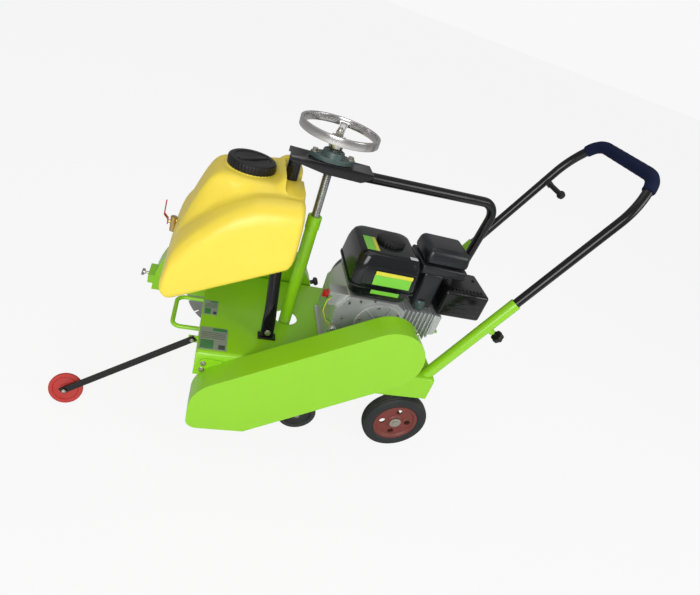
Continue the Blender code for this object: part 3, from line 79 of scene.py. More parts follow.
# --- places, counted from the deck's datum; the frame's zero lies MIDDLE behind that datum ------
MIDDLE = 0.211
GAP = 0.0004  # keeps a finished piece clear of its neighbour
DECK_TOP = 0.283
MAST = 0.106  # x of the depth screw
BRACKET_TOP = 0.770
BRACKET_SHEET = 0.005
STRUT_R = 0.016
REAR_STRUT_R = 0.014
HANDLE_FOOT = 0.518  # x where the handle's line meets the deck's top
HANDLE_SLOPE = math.radians(62.37)
SOCKET_Y = 0.169
RAIL_R = 0.013
GRIP_R = 0.0172
GRIP_OVERLAP = 0.0055  # how far the grip runs past the path points at its ends
CLAMP_UP = 0.220  # up the handle to the clamp knobs
LIFT_BAR_BEND = 0.022
TANK_MOUTH = -0.075  # x of the filler neck and its cap
HUB_FACE_Y = 0.2065 - 0.0056
ENGINE_SHAFT = (0.338, 0.389)  # x and z
FUEL_SEAM = 0.508  # height where the fuel tank's halves meet
STARTER_Z = 0.393
GUIDE_LEAN = math.radians(25)
SPOKES = 3
COVER_RIBS = 6
FINS, FIN_PITCH = 9, 0.0128
LOUVRES, LOUVRE_PITCH = 9, 0.0118
STARTER_RIBS = 20
LENS_SHIFT = (-0.0176, 0.0013)
FLOOR_REACH = 60
DUST_COLOUR = (0.42, 0.40, 0.36)
UP, AFT, BELT_SIDE, BLADE_SIDE = (0, 0, 1), (1, 0, 0), (0, -1, 0), (0, 1, 0)


def at(x, y, z):
    """A place given from the deck's datum, as a point of the frame."""
    return np.array([x - MIDDLE, y, z])


def along_handle(distance, y=0.0):
    """A point on the handle's sloping plane, that distance up from the deck's top."""
    return at(HANDLE_FOOT + distance * math.cos(HANDLE_SLOPE), y,
              DECK_TOP + distance * math.sin(HANDLE_SLOPE))


HANDLE_BACK = np.array([math.sin(HANDLE_SLOPE), 0.0, -math.cos(HANDLE_SLOPE)])


# --- settings -----------------------------------------------------------------------------------
class PaintSettings(bpy.types.PropertyGroup):
    """Colours of the saw's finishes."""

    lime: bpy.props.FloatVectorProperty(name="Lime", description="Powder coat of the frame and guards",
                                        subtype="COLOR", default=(0.27, 0.62, 0.008))
    tank: bpy.props.FloatVectorProperty(name="Tank", description="Moulded water tank", subtype="COLOR",
                                        default=(0.90, 0.71, 0.070))
    black: bpy.props.FloatVectorProperty(name="Black", description="Black paint and plastic", subtype="COLOR",
                                         default=(0.006, 0.006, 0.007))
    foam: bpy.props.FloatVectorProperty(name="Foam", description="Grip foam", subtype="COLOR",
                                        default=(0.008, 0.012, 0.045))
    red: bpy.props.FloatVectorProperty(name="Red", description="Guide wheel and engine switch",
                                       subtype="COLOR", default=(0.46, 0.014, 0.008))


class StageSettings(bpy.types.PropertyGroup):
    """Camera and light."""

    eye: bpy.props.FloatVectorProperty(name="Eye", description="Camera's place", subtype="TRANSLATION",
                                       unit="LENGTH", default=(-0.3576, -1.1611, 1.1452))
    heading: bpy.props.FloatProperty(name="Heading", description="Turn of the view to the right of +Y",
                                     subtype="ANGLE", default=math.radians(21.5))
    dip: bpy.props.FloatProperty(name="Dip", description="Fall of the view below level", subtype="ANGLE",
                                 default=math.radians(31.1))
    roll: bpy.props.FloatProperty(name="Roll", description="Roll of the camera", subtype="ANGLE",
                                  default=math.radians(21.3))
    lens: bpy.props.FloatProperty(name="Lens",
                                  description="Focal length on a 36 mm wide sensor, in millimetres",
                                  default=25.44, min=10, max=200)
    key: bpy.props.FloatProperty(name="Key light",
                                 description="Power of the large light beside the camera, in watts",
                                 default=52.0, min=0)


class DetailSettings(bpy.types.PropertyGroup):
    """Sizes of small features."""

    edge: bpy.props.FloatProperty(name="Edge radius", description="Softening of pressed and cut edges",
                                  unit="LENGTH", default=0.0012, min=0.0002, max=0.004)
    thread_pitch: bpy.props.FloatProperty(name="Thread pitch", description="Pitch of the depth screw",
                                          unit="LENGTH", default=0.005, min=0.002, max=0.010)
    tyre_steps: bpy.props.IntProperty(name="Tyre steps", description="Steps round each rear tyre, in fours",
                                      default=36, min=8, max=80)
    cap_ribs: bpy.props.IntProperty(name="Cap ribs", description="Ribs round the tank cap", default=40, min=8,
                                    max=80)


def settings():
    """The scene's paint, stage and detail settings."""
    return bpy.context.scene.saw_paint, bpy.context.scene.saw_stage, bpy.context.scene.saw_detail


# --- shells: arrays of points with faces --------------------------------------------------------
def strip(points, close_u=True, close_v=False, caps=True):
    """A shell of quads from points[v, u]; u and v may close on themselves, and caps fill the end rows."""
    rows, columns = points.shape[:2]
    index = np.arange(rows * columns).reshape(rows, columns)
    wide = np.hstack([index, index[:, :1]]) if close_u else index
    tall = np.vstack([wide, wide[:1]]) if close_v else wide
    quads = np.stack([tall[:-1, :-1], tall[:-1, 1:], tall[1:, 1:], tall[1:, :-1]], -1).reshape(-1, 4)
    faces = quads.tolist()
    if caps and not close_v:
        faces += [index[0][::-1].tolist(), index[-1].tolist()]
    return points.reshape(-1, 3), faces


def axes_for(axis):
    """Two unit vectors square to an axis, and the axis at unit length."""
    ahead = np.array(axis, float) / np.linalg.norm(axis)
    helper = np.array([0.0, 0.0, 1.0]) if abs(ahead[2]) < 0.9 else np.array([1.0, 0.0, 0.0])
    side = np.cross(helper, ahead)
    side /= np.linalg.norm(side)
    return side, np.cross(ahead, side), ahead


def lathe(profile, centre, axis, steps=48, closed=False, swell=None):
    """Turns (radius, distance) rows about an axis: centre + distance*axis + radius*(cos t, sin t).
    swell(t, row) may multiply the radius; closed joins the last row to the first, as for a ring."""
    side, up, ahead = axes_for(axis)
    profile = np.array(profile, float)
    turn = np.linspace(0, 2 * np.pi, steps, endpoint=False)
    radius = np.repeat(profile[:, :1], steps, 1)
    if swell is not None:
        radius = radius * swell(turn[None, :], np.arange(len(profile))[:, None])
    around = np.cos(turn)[None, :, None] * side + np.sin(turn)[None, :, None] * up
    points = np.array(centre) + profile[:, 1][:, None, None] * ahead + radius[:, :, None] * around
    return strip(points, close_v=closed)


def rounded(corners, radius, steps=8):
    """A path through the corners, each inner one an arc of that radius, or of its own if given a list."""
    corners = [Vector(c) for c in corners]
    radii = radius if isinstance(radius, (list, tuple)) else [radius] * (len(corners) - 2)
    path = [corners[0]]
    for before, here, after, radius in zip(corners, corners[1:], corners[2:], radii):
        back, ahead = (before - here).normalized(), (after - here).normalized()
        half = back.angle(ahead) / 2
        middle = here + (back + ahead).normalized() * radius / math.sin(half)
        first = here + back * radius / math.tan(half) - middle
        last = here + ahead * radius / math.tan(half) - middle
        spread = first.angle(last)
        for t in np.linspace(0, 1, steps + 1):
            step = first * math.sin((1 - t) * spread) + last * math.sin(t * spread)
            path.append(middle + step / math.sin(spread))
    return np.array([list(p) for p in path + [corners[-1]]])


def path_frames(path):
    """Side and up vectors along a nearly flat path: up is the flat's normal made square to each tangent."""
    step = np.diff(path, axis=0)
    step /= np.linalg.norm(step, axis=1)[:, None]
    tangent = np.vstack([step[:1], step[:-1] + step[1:], step[-1:]])
    tangent /= np.linalg.norm(tangent, axis=1)[:, None]
    normal = np.linalg.svd(path - path.mean(0))[2][-1]
    up = normal - (tangent @ normal)[:, None] * tangent
    up /= np.linalg.norm(up, axis=1)[:, None]
    return np.cross(up, tangent), up


def sweep(path, radius, steps=32, bore=0.0, flat=None):
    """A tube: path + radius*(cos t*side + sin t*up) at each point. flat gives two scales per point, for a
    flattened end; a bore adds an inner wall."""
    side, up = path_frames(path)
    turn = np.linspace(0, 2 * np.pi, steps, endpoint=False)
    radius = np.broadcast_to(np.array(radius, float), (len(path),))
    scale = np.ones((len(path), 2)) if flat is None else np.array(flat)

    def wall(r):
        across = np.cos(turn)[None, :, None] * side[:, None] * scale[:, 0][:, None, None]
        upward = np.sin(turn)[None, :, None] * up[:, None] * scale[:, 1][:, None, None]
        return path[:, None] + r[:, None, None] * (across + upward)
    if not bore:
        return strip(wall(radius))
    inner = wall(np.full(len(path), bore))[::-1]
    return strip(np.concatenate([wall(radius), inner]), close_v=True)


def smooth_loops(loops, per):
    """Closed curves through control points, per points to a span: cubic with slopes (next - last) / 2."""
    last, here = np.roll(loops, 1, 1)[:, :, None], loops[:, :, None]
    after, beyond = np.roll(loops, -1, 1)[:, :, None], np.roll(loops, -2, 1)[:, :, None]
    t = (np.arange(per) / per)[None, None, :, None]
    curve = 0.5 * (2 * here + (after - last) * t + (2 * last - 5 * here + 4 * after - beyond) * t ** 2
                   + (3 * here - last - 3 * after + beyond) * t ** 3)
    return curve.reshape(len(loops), -1, loops.shape[2])


def round_rect(half_x, half_y, radius, steps=5):
    """Points round a rectangle with quarter-circle corners, counter-clockwise."""
    turn = np.linspace(0, np.pi / 2, steps + 1)
    quarter = [(half_x - radius, half_y - radius, 0), (-(half_x - radius), half_y - radius, 1),
               (-(half_x - radius), -(half_y - radius), 2), (half_x - radius, -(half_y - radius), 3)]
    return np.concatenate([np.stack([cx + radius * np.cos(turn + q * np.pi / 2),
                                     cy + radius * np.sin(turn + q * np.pi / 2)], -1)
                           for cx, cy, q in quarter])


def soft_box(low, high, radius, steps=4, draft=0.0):
    """A box with all its edges rounded: round rectangles stacked in z, drawn in by 1 - cos at both ends.
    draft narrows it evenly towards its top."""
    low, high = np.array(low, float), np.array(high, float)
    middle, half = (low + high) / 2, (high - low) / 2
    turn = np.linspace(0, np.pi / 2, steps + 1)
    inset = np.concatenate([radius * (1 - np.sin(turn)), radius * (1 - np.sin(turn[::-1]))])
    level = np.concatenate([low[2] + radius * (1 - np.cos(turn)),
                            high[2] - radius * (1 - np.cos(turn[::-1]))])
    share = (level - low[2]) / (high[2] - low[2])
    rows = []
    for i, z, s in zip(inset, level, share):
        corner = max(radius - i, radius * 0.12) + 1e-5
        flat = round_rect(half[0] - i - draft * s, half[1] - i - draft * s, corner, steps)
        rows.append(np.column_stack([flat + middle[:2], np.full(len(flat), z)]))
    return strip(np.array(rows))


def placed(shell, origin, x_axis, z_axis):
    """The shell moved so that its own X and Z run along the axes given and its zero is at the origin."""
    z = np.array(z_axis, float) / np.linalg.norm(z_axis)
    x = np.array(x_axis, float) - np.dot(x_axis, z) * z
    x /= np.linalg.norm(x)
    turn = np.column_stack([x, np.cross(z, x), z])
    return shell[0] @ turn.T + np.array(origin), shell[1]


def bolt(place, axis, size, tall=None, washer=True):
    """A hexagon head with a chamfer on a round washer: rows of six points, drawn in at the top."""
    tall = tall or size * 0.55
    shells = []
    base = 0.0
    if washer:
        shells.append(lathe([(size * 1.05, 0), (size * 1.05, size * 0.12), (size * 1.0, size * 0.16)], place,
                            axis, 28))
        base = size * 0.14
    head = [(size * 0.80, base), (size * 0.80, base + tall * 0.85), (size * 0.70, base + tall)]
    shells.append(lathe(head, place, axis, 6))
    return shells


def meshed(name, shells, merge=0.0):
    """An object made of shells, its doubles merged within that distance, with faces outward."""
    points = np.concatenate([s[0] for s in shells])
    starts = np.cumsum([0] + [len(s[0]) for s in shells])
    faces = [[i + start for i in face] for s, start in zip(shells, starts) for face in s[1]]
    mesh = bpy.data.meshes.new(name)
    mesh.from_pydata(points.tolist(), [], faces)
    work = bmesh.new()
    work.from_mesh(mesh)
    if merge:
        bmesh.ops.remove_doubles(work, verts=work.verts, dist=merge)
    bmesh.ops.recalc_face_normals(work, faces=work.faces)
    work.to_mesh(mesh)
    work.free()
    return linked(name, mesh)


def linked(name, data):
    """A new object with that data, in the scene."""
    obj = bpy.data.objects.new(name, data)
    bpy.context.scene.collection.objects.link(obj)
    return obj


def piece(name, shells, body, material, stands_for=(), sharp=32):
    """One finished object made of shells, riding on a body; edges bent more than sharp degrees stay crisp."""
    return settle(meshed(name, shells, 1e-6), body, material, stands_for, sharp)


def settle(obj, body, material, stands_for, sharp, bevel=0.0):
    mesh = obj.data
    mesh.shade_smooth()
    mesh.set_sharp_from_angle(angle=math.radians(sharp))
    if bevel:
        edge = obj.modifiers.new("softened edges", "BEVEL")
        edge.width = bevel
        edge.segments = 2
        edge.limit_method = "ANGLE"
        edge.angle_limit = math.radians(sharp)
        edge.harden_normals = True
        mesh.shade_smooth()
    mesh.materials.clear()
    mesh.materials.append(material)
    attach(obj, body)
    if stands_for:
        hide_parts(*stands_for)
    return obj


def dressed(node, material, edge=None):
    """A copy of a frame node with its seams merged, its flats joined and its edges softened, in its place."""
    width = settings()[2].edge if edge is None else edge
    mesh = NODES[node].data.copy()
    work = bmesh.new()
    work.from_mesh(mesh)
    bmesh.ops.remove_doubles(work, verts=work.verts, dist=2e-5)
    bmesh.ops.dissolve_limit(work, angle_limit=math.radians(0.6), verts=work.verts, edges=work.edges)
    work.to_mesh(mesh)
    work.free()
    for layer in list(mesh.attributes):
        if layer.name in {"sharp_face", "sharp_edge", "custom_normal"}:
            mesh.attributes.remove(layer)
    obj = linked(f"{node}_finished", mesh)
    return settle(obj, NODES[node]["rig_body"], material, (node,), 32, bevel=width)


# --- shader node groups and materials -----------------------------------------------------------
def new_group(name, inputs, outputs):
    """An empty shader group with named float sockets, and its input and output nodes."""
    tree = bpy.data.node_groups.new(name, "ShaderNodeTree")
    for label, value in inputs:
        socket = tree.interface.new_socket(label, in_out="INPUT", socket_type="NodeSocketFloat")
        socket.default_value = value
    for label in outputs:
        tree.interface.new_socket(label, in_out="OUTPUT", socket_type="NodeSocketFloat")
    return tree, tree.nodes.new("NodeGroupInput"), tree.nodes.new("NodeGroupOutput")


def add(tree, kind, sockets=(), **values):
    """A node with its properties set, and links or values put on its input sockets by name or number."""
    node = tree.nodes.new(kind)
    for key, value in values.items():
        setattr(node, key, value)
    for key, value in dict(sockets).items():
        if isinstance(value, bpy.types.NodeSocket):
            tree.links.new(value, node.inputs[key])
        else:
            node.inputs[key].default_value = value
    return node


def edge_wear_group():
    """Rubbed edges: how far a rounded-off normal turns from the real one, broken up by a noise."""
    tree, start, end = new_group("edge wear", [("Scale", 90.0), ("Reach", 0.5), ("Width", 0.0016)], ["Mask"])
    flat = add(tree, "ShaderNodeNewGeometry").outputs["Normal"]
    round_off = add(tree, "ShaderNodeBevel", {"Radius": start.outputs["Width"]}, samples=4)
    bend = add(tree, "ShaderNodeVectorMath", {0: flat, 1: round_off.outputs[0]}, operation="DOT_PRODUCT")
    crest = add(tree, "ShaderNodeMapRange",
                {"Value": bend.outputs["Value"], "From Min": 0.995, "From Max": 0.90})
    place = add(tree, "ShaderNodeTexCoord").outputs["Object"]
    speck = add(tree, "ShaderNodeTexNoise", {"Vector": place, "Scale": start.outputs["Scale"], "Detail": 6.0})
    broken = add(tree, "ShaderNodeMapRange",
                 {"Value": speck.outputs["Fac"], "From Min": 0.45, "From Max": 0.62})
    both = add(tree, "ShaderNodeMath", {0: crest.outputs[0], 1: broken.outputs[0]}, operation="MULTIPLY")
    scaled = add(tree, "ShaderNodeMath", {0: both.outputs[0], 1: start.outputs["Reach"]},
                 operation="MULTIPLY")
    tree.links.new(scaled.outputs[0], end.inputs["Mask"])
    return tree


def grain_group():
    """Orange peel and slow drift of tone: a fine noise for height, a broad one for tone."""
    tree, start, end = new_group("surface grain", [("Scale", 400.0), ("Drift", 6.0)], ["Height", "Tone"])
    place = add(tree, "ShaderNodeTexCoord").outputs["Object"]
    fine = add(tree, "ShaderNodeTexNoise", {"Vector": place, "Scale": start.outputs["Scale"], "Detail": 3.0})
    broad = add(tree, "ShaderNodeTexNoise", {"Vector": place, "Scale": start.outputs["Drift"], "Detail": 4.0})
    tree.links.new(fine.outputs["Fac"], end.inputs["Height"])
    tree.links.new(broad.outputs["Fac"], end.inputs["Tone"])
    return tree


def dust_group():
    """Dust settled on what faces up: the normal's height times a soft noise."""
    tree, start, end = new_group("settled dust", [("Scale", 18.0), ("Amount", 0.2)], ["Mask"])
    up = add(tree, "ShaderNodeSeparateXYZ",
             {0: add(tree, "ShaderNodeNewGeometry").outputs["Normal"]}).outputs["Z"]
    facing = add(tree, "ShaderNodeMapRange", {"Value": up, "From Min": 0.2, "From Max": 1.0})
    place = add(tree, "ShaderNodeTexCoord").outputs["Object"]
    cloud = add(tree, "ShaderNodeTexNoise", {"Vector": place, "Scale": start.outputs["Scale"], "Detail": 8.0})
    patch = add(tree, "ShaderNodeMapRange",
                {"Value": cloud.outputs["Fac"], "From Min": 0.35, "From Max": 0.75})
    both = add(tree, "ShaderNodeMath", {0: facing.outputs[0], 1: patch.outputs[0]}, operation="MULTIPLY")
    scaled = add(tree, "ShaderNodeMath", {0: both.outputs[0], 1: start.outputs["Amount"]},
                 operation="MULTIPLY")
    tree.links.new(scaled.outputs[0], end.inputs["Mask"])
    return tree


def group(name):
    """The shader group of that name, built when it is first asked for."""
    makers = {"edge wear": edge_wear_group, "surface grain": grain_group, "settled dust": dust_group}
    return bpy.data.node_groups.get(name) or makers[name]()


def blended(tree, share, under, over):
    """A colour mix, under where share is 0 and over where it is 1; each is a colour or a node's output."""
    mix = add(tree, "ShaderNodeMix", {"Factor": share}, data_type="RGBA")
    for socket, value in zip([s for s in mix.inputs if s.type == "RGBA"], (under, over)):
        if isinstance(value, bpy.types.NodeSocket):
            tree.links.new(value, socket)
        else:
            socket.default_value = (*value, 1)
    return next(s for s in mix.outputs if s.type == "RGBA")


def finish(name, colour, rough, metallic=0.0, grain=400.0, bump=0.05, wear=0.3, bare=(0.42, 0.42, 0.40),
           dust=0.10, drift=0.05, coat=0.0, bare_metal=0.9, streak=None, specular=0.5):
    """A material: colour with drift of tone, rubbed edges and dust; roughness and bump follow the grain."""
    if name in bpy.data.materials:
        return bpy.data.materials[name]
    made = bpy.data.materials.new(name)
    made.use_nodes = True
    tree = made.node_tree
    shader = tree.nodes["Principled BSDF"]
    shader.inputs["Coat Weight"].default_value = coat
    shader.inputs["Coat Roughness"].default_value = 0.08
    shader.inputs["Specular IOR Level"].default_value = specular

    def use(label, **values):
        node = tree.nodes.new("ShaderNodeGroup")
        node.node_tree = group(label)
        for key, value in values.items():
            node.inputs[key].default_value = value
        return node
    texture = use("surface grain", Scale=grain, Drift=7.0)
    rub = use("edge wear", Scale=110.0, Reach=wear)
    dirt = use("settled dust", Scale=16.0, Amount=dust)
    height = texture.outputs["Height"]
    if streak is not None:
        place = add(tree, "ShaderNodeTexCoord").outputs["Object"]
        drawn = add(tree, "ShaderNodeMapping", {"Vector": place, "Scale": streak})
        lines = add(tree, "ShaderNodeTexNoise", {"Vector": drawn.outputs[0], "Scale": 60.0, "Detail": 4.0})
        height = lines.outputs["Fac"]
    dark = tuple(c * (1 - drift) for c in colour)
    light = tuple(min(1.0, c * (1 + drift * 0.6)) for c in colour)
    tone = blended(tree, texture.outputs["Tone"], dark, light)
    rubbed = blended(tree, rub.outputs["Mask"], tone, bare)
    dusted = blended(tree, dirt.outputs["Mask"], rubbed, DUST_COLOUR)
    tree.links.new(dusted, shader.inputs["Base Color"])
    spread = add(tree, "ShaderNodeMapRange",
                 {"Value": texture.outputs["Tone"], "From Min": 0.1, "From Max": 0.9,
                  "To Min": rough * 0.85, "To Max": min(1.0, rough * 1.25)})
    duller = add(tree, "ShaderNodeMath", {0: spread.outputs[0], 1: dirt.outputs["Mask"]}, operation="ADD",
                 use_clamp=True)
    tree.links.new(duller.outputs[0], shader.inputs["Roughness"])
    metal = add(tree, "ShaderNodeMapRange", {"Value": rub.outputs["Mask"], "To Min": metallic,
                                             "To Max": max(metallic, bare_metal)})
    tree.links.new(metal.outputs[0], shader.inputs["Metallic"])
    relief = add(tree, "ShaderNodeBump", {"Strength": bump, "Distance": 0.001, "Height": height})
    tree.links.new(relief.outputs[0], shader.inputs["Normal"])
    return made


# Each finish below is made once and found again by its name.
def lime():
    return finish("lime powder coat", tuple(settings()[0].lime), 0.30, grain=520, bump=0.03, wear=0.30,
                  dust=0.03, coat=0.25, drift=0.03)


def black_gloss():
    return finish("black enamel", tuple(settings()[0].black), 0.20, grain=600, bump=0.04, wear=0.30,
                  dust=0.015, bare=(0.20, 0.20, 0.20), coat=0.08, specular=0.35)


def black_moulding():
    return finish("black moulding", tuple(settings()[0].black), 0.38, grain=900, bump=0.08, wear=0.25,
                  dust=0.015, bare=(0.06, 0.06, 0.06), bare_metal=0.0, specular=0.35)


def glossy_moulding():
    return finish("glossy black moulding", (0.006, 0.007, 0.008), 0.16, grain=300, bump=0.02, wear=0.2,
                  dust=0.01, bare=(0.05, 0.05, 0.05), bare_metal=0.0, coat=0.10, specular=0.4)


def zinc():
    return finish("zinc plate", (0.46, 0.44, 0.38), 0.32, metallic=1.0, grain=260, bump=0.06, wear=0.5,
                  dust=0.05, bare=(0.75, 0.75, 0.73))


def drawn_steel():
    return finish("drawn steel", (0.40, 0.41, 0.40), 0.30, metallic=1.0, bump=0.10, wear=0.3, dust=0.05,
                  bare=(0.7, 0.7, 0.7), streak=(1, 1, 30))


def chrome():
    return finish("chrome plate", (0.62, 0.61, 0.60), 0.20, metallic=1.0, grain=150, bump=0.01, wear=0.2,
                  dust=0.03, bare=(0.8, 0.8, 0.8), drift=0.05)


def casting():
    return finish("cast alloy", (0.60, 0.62, 0.61), 0.40, metallic=0.6, grain=700, bump=0.22, wear=0.6,
                  dust=0.10, bare=(0.62, 0.62, 0.60))


def grey_green():
    return finish("grey-green casting", (0.060, 0.095, 0.088), 0.42, metallic=0.2, grain=500, bump=0.20,
                  wear=0.6, dust=0.08, bare=(0.40, 0.42, 0.40))


def red_casting():
    return finish("red painted casting", (0.17, 0.026, 0.018), 0.45, grain=450, bump=0.18, wear=0.5,
                  dust=0.12, bare=(0.20, 0.15, 0.13))


def tyre_rubber():
    return finish("tyre rubber", (0.024, 0.026, 0.027), 0.72, grain=800, bump=0.20, wear=0.4, dust=0.22,
                  bare=(0.05, 0.05, 0.05), bare_metal=0.0, specular=0.3)


def soft_rubber():
    return finish("black rubber", (0.022, 0.022, 0.022), 0.62, grain=900, bump=0.15, wear=0.3, dust=0.12,
                  bare=(0.06, 0.06, 0.06), bare_metal=0.0)


def red_moulding():
    return finish("red moulding", tuple(settings()[0].red), 0.38, grain=700, bump=0.08, wear=0.3, dust=0.06,
                  bare=(0.45, 0.10, 0.08), bare_metal=0.0)


def brass():
    return finish("brass", (0.60, 0.44, 0.18), 0.30, metallic=1.0, grain=300, bump=0.08, wear=0.4, dust=0.05,
                  bare=(0.75, 0.60, 0.30))


def tank_plastic():
    made = finish("yellow moulding", tuple(settings()[0].tank), 0.36, grain=260, bump=0.05, wear=0.15,
                  dust=0.03, bare=(0.95, 0.86, 0.35), bare_metal=0.0, drift=0.05)
    shader = made.node_tree.nodes["Principled BSDF"]
    shader.inputs["Subsurface Weight"].default_value = 0.25
    shader.inputs["Subsurface Radius"].default_value = (0.03, 0.02, 0.004)
    shader.inputs["Subsurface Scale"].default_value = 0.4
    return made


def foam():
    return finish("grip foam", tuple(settings()[0].foam), 0.92, grain=1400, bump=0.3, wear=0.1, dust=0.02,
                  specular=0.15, bare=(0.02, 0.03, 0.07), bare_metal=0.0, drift=0.25)


# --- pieces -------------------------------------------------------------------------------------
class SAW_OT_chassis(bpy.types.Operator):
    """Deck, plates, sockets, hangers and swing frame with softened edges"""

    bl_idname = "saw.chassis"
    bl_label = "Chassis"

    def execute(self, context):
        for node in ("chassis_deck", "axle_plate_left", "axle_plate_right", "swing_frame",
                     "handle_socket_left", "handle_socket_right"):
            dressed(node, lime())
        for node in ("shaft_bearing_left", "shaft_bearing_right"):
            dressed(node, casting())
        for node in ("rear_axle", "swing_pin", "front_axle"):
            dressed(node, zinc())
        bar_low, bar_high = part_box("lift_handle")
        radius = (bar_high.z - bar_low.z) / 2
        z = (bar_high.z + bar_low.z) / 2
        out = bar_low.x + radius
        corners = [(bar_high.x, bar_low.y + radius, z), (out, bar_low.y + radius, z),
                   (out, bar_high.y - radius, z), (bar_high.x, bar_high.y - radius, z)]
        piece("lift_bar", [sweep(rounded(corners, LIFT_BAR_BEND), radius, 24)], "machine", lime(),
              ("lift_handle",))
        return {"FINISHED"}


class SAW_OT_handle(bpy.types.Operator):
    """Bent push handle, foam grip, hand lever and clamp knobs"""

    bl_idname = "saw.handle"
    bl_label = "Handle"

    def execute(self, context):
        bends = [(0.125, SOCKET_Y), (0.690, SOCKET_Y), (0.780, 0.128)]
        corners = [along_handle(d, -y) for d, y in bends] + [along_handle(d, y) for d, y in bends[::-1]]
        path = rounded(corners, [0.200, 0.055, 0.055, 0.200], 10)
        piece("handle_tube", [sweep(path, RAIL_R, 40)], "handle", black_gloss(),
              ("push_handle",))
        first, last = 12, len(path) - 13
        ahead = [path[first - 1] - path[first], path[last + 1] - path[last]]
        ends = [path[i] + GRIP_OVERLAP * a / np.linalg.norm(a) for i, a in zip((first, last), ahead)]
        grip_path = np.vstack([ends[0], path[first:last + 1], ends[1]])
        dense = resampled(grip_path, 90)
        share = np.linspace(0, 1, len(dense))
        ends_in = 0.10 * np.exp(-((share * 160) ** 2)), 0.10 * np.exp(-(((1 - share) * 160) ** 2))
        body = GRIP_R * (1 - ends_in[0] - ends_in[1])
        body -= 0.00035 * (np.sin(share * 40) ** 2)
        grip = piece("grip_sleeve", [sweep(dense, body, 40, bore=RAIL_R + GAP)], "handle", foam(),
                     ("foam_grip",), sharp=50)
        dressed("handle_lever", black_moulding(), 0.0008)
        for word, sign in (("left", -1), ("right", 1)):
            place = along_handle(CLAMP_UP, sign * SOCKET_Y)
            rows = [(0.012, 0.0490), (0.0168, 0.0505), (0.0178, 0.0540), (0.0178, 0.0620), (0.0165, 0.0655),
                    (0.010, 0.0665)]
            knob = lathe(rows, place, HANDLE_BACK, 84, swell=lambda t, row: 0.93 + 0.07 * np.cos(6 * t))
            stud = lathe([(0.0038, RAIL_R + GAP), (0.0038, 0.050)], place, HANDLE_BACK, 20)
            dome = lathe([(0.007, 0.066), (0.0065, 0.0668), (0.003, 0.0672)], place, HANDLE_BACK, 28)
            piece(f"clamp_knob_{word}_moulded", [knob, stud, dome], f"clamp_knob_{word}", black_moulding(),
                  (f"clamp_knob_{word}",))
        return {"FINISHED"}


def resampled(path, count):
    """The path at evenly spaced distances along itself."""
    steps = np.r_[0, np.cumsum(np.linalg.norm(np.diff(path, axis=0), axis=1))]
    wanted = np.linspace(0, steps[-1], count)
    return np.column_stack([np.interp(wanted, steps, path[:, i]) for i in range(3)])


class SAW_OT_struts(bpy.types.Operator):
    """Front strut with its flattened, bolted foot, and the rear strut bent down behind the engine"""

    bl_idname = "saw.struts"
    bl_label = "Struts"

    def execute(self, context):
        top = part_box("front_strut")[1].z
        foot = at(0.048, -0.104, DECK_TOP + 0.008)
        corners = [at(0.022, 0, top), at(0.022, 0, 0.640), at(0.045, -0.092, 0.350), foot]
        path = resampled(rounded(corners, 0.060), 70)
        low = np.clip((0.385 - path[:, 2]) / 0.06, 0, 1)
        ease = low * low * (3 - 2 * low)
        flat = np.column_stack([1 - 0.66 * ease, 1 + 0.16 * ease])
        tube = sweep(path, STRUT_R, 36, flat=flat)
        stand = soft_box(at(0.024, -0.117, DECK_TOP + GAP), at(0.072, -0.091, DECK_TOP + 0.0066), 0.0015)
        piece("front_strut_tube", [tube, stand], "machine", black_gloss(), ("front_strut",),
              sharp=45)
        bolts = bolt(at(0.048, -0.1105, 0.303), BELT_SIDE, 0.008)
        piece("strut_foot_bolt", bolts, "machine", zinc())
        start = at(0.177, 0, BRACKET_TOP - BRACKET_SHEET - REAR_STRUT_R - GAP)
        path = rounded([start, at(0.632, 0.080, 0.741), at(0.596, 0.080, DECK_TOP + GAP)], 0.050, 12)
        piece("rear_strut_tube", [sweep(path, REAR_STRUT_R, 36)], "machine", black_gloss(),
              ("rear_strut",))
        return {"FINISHED"}


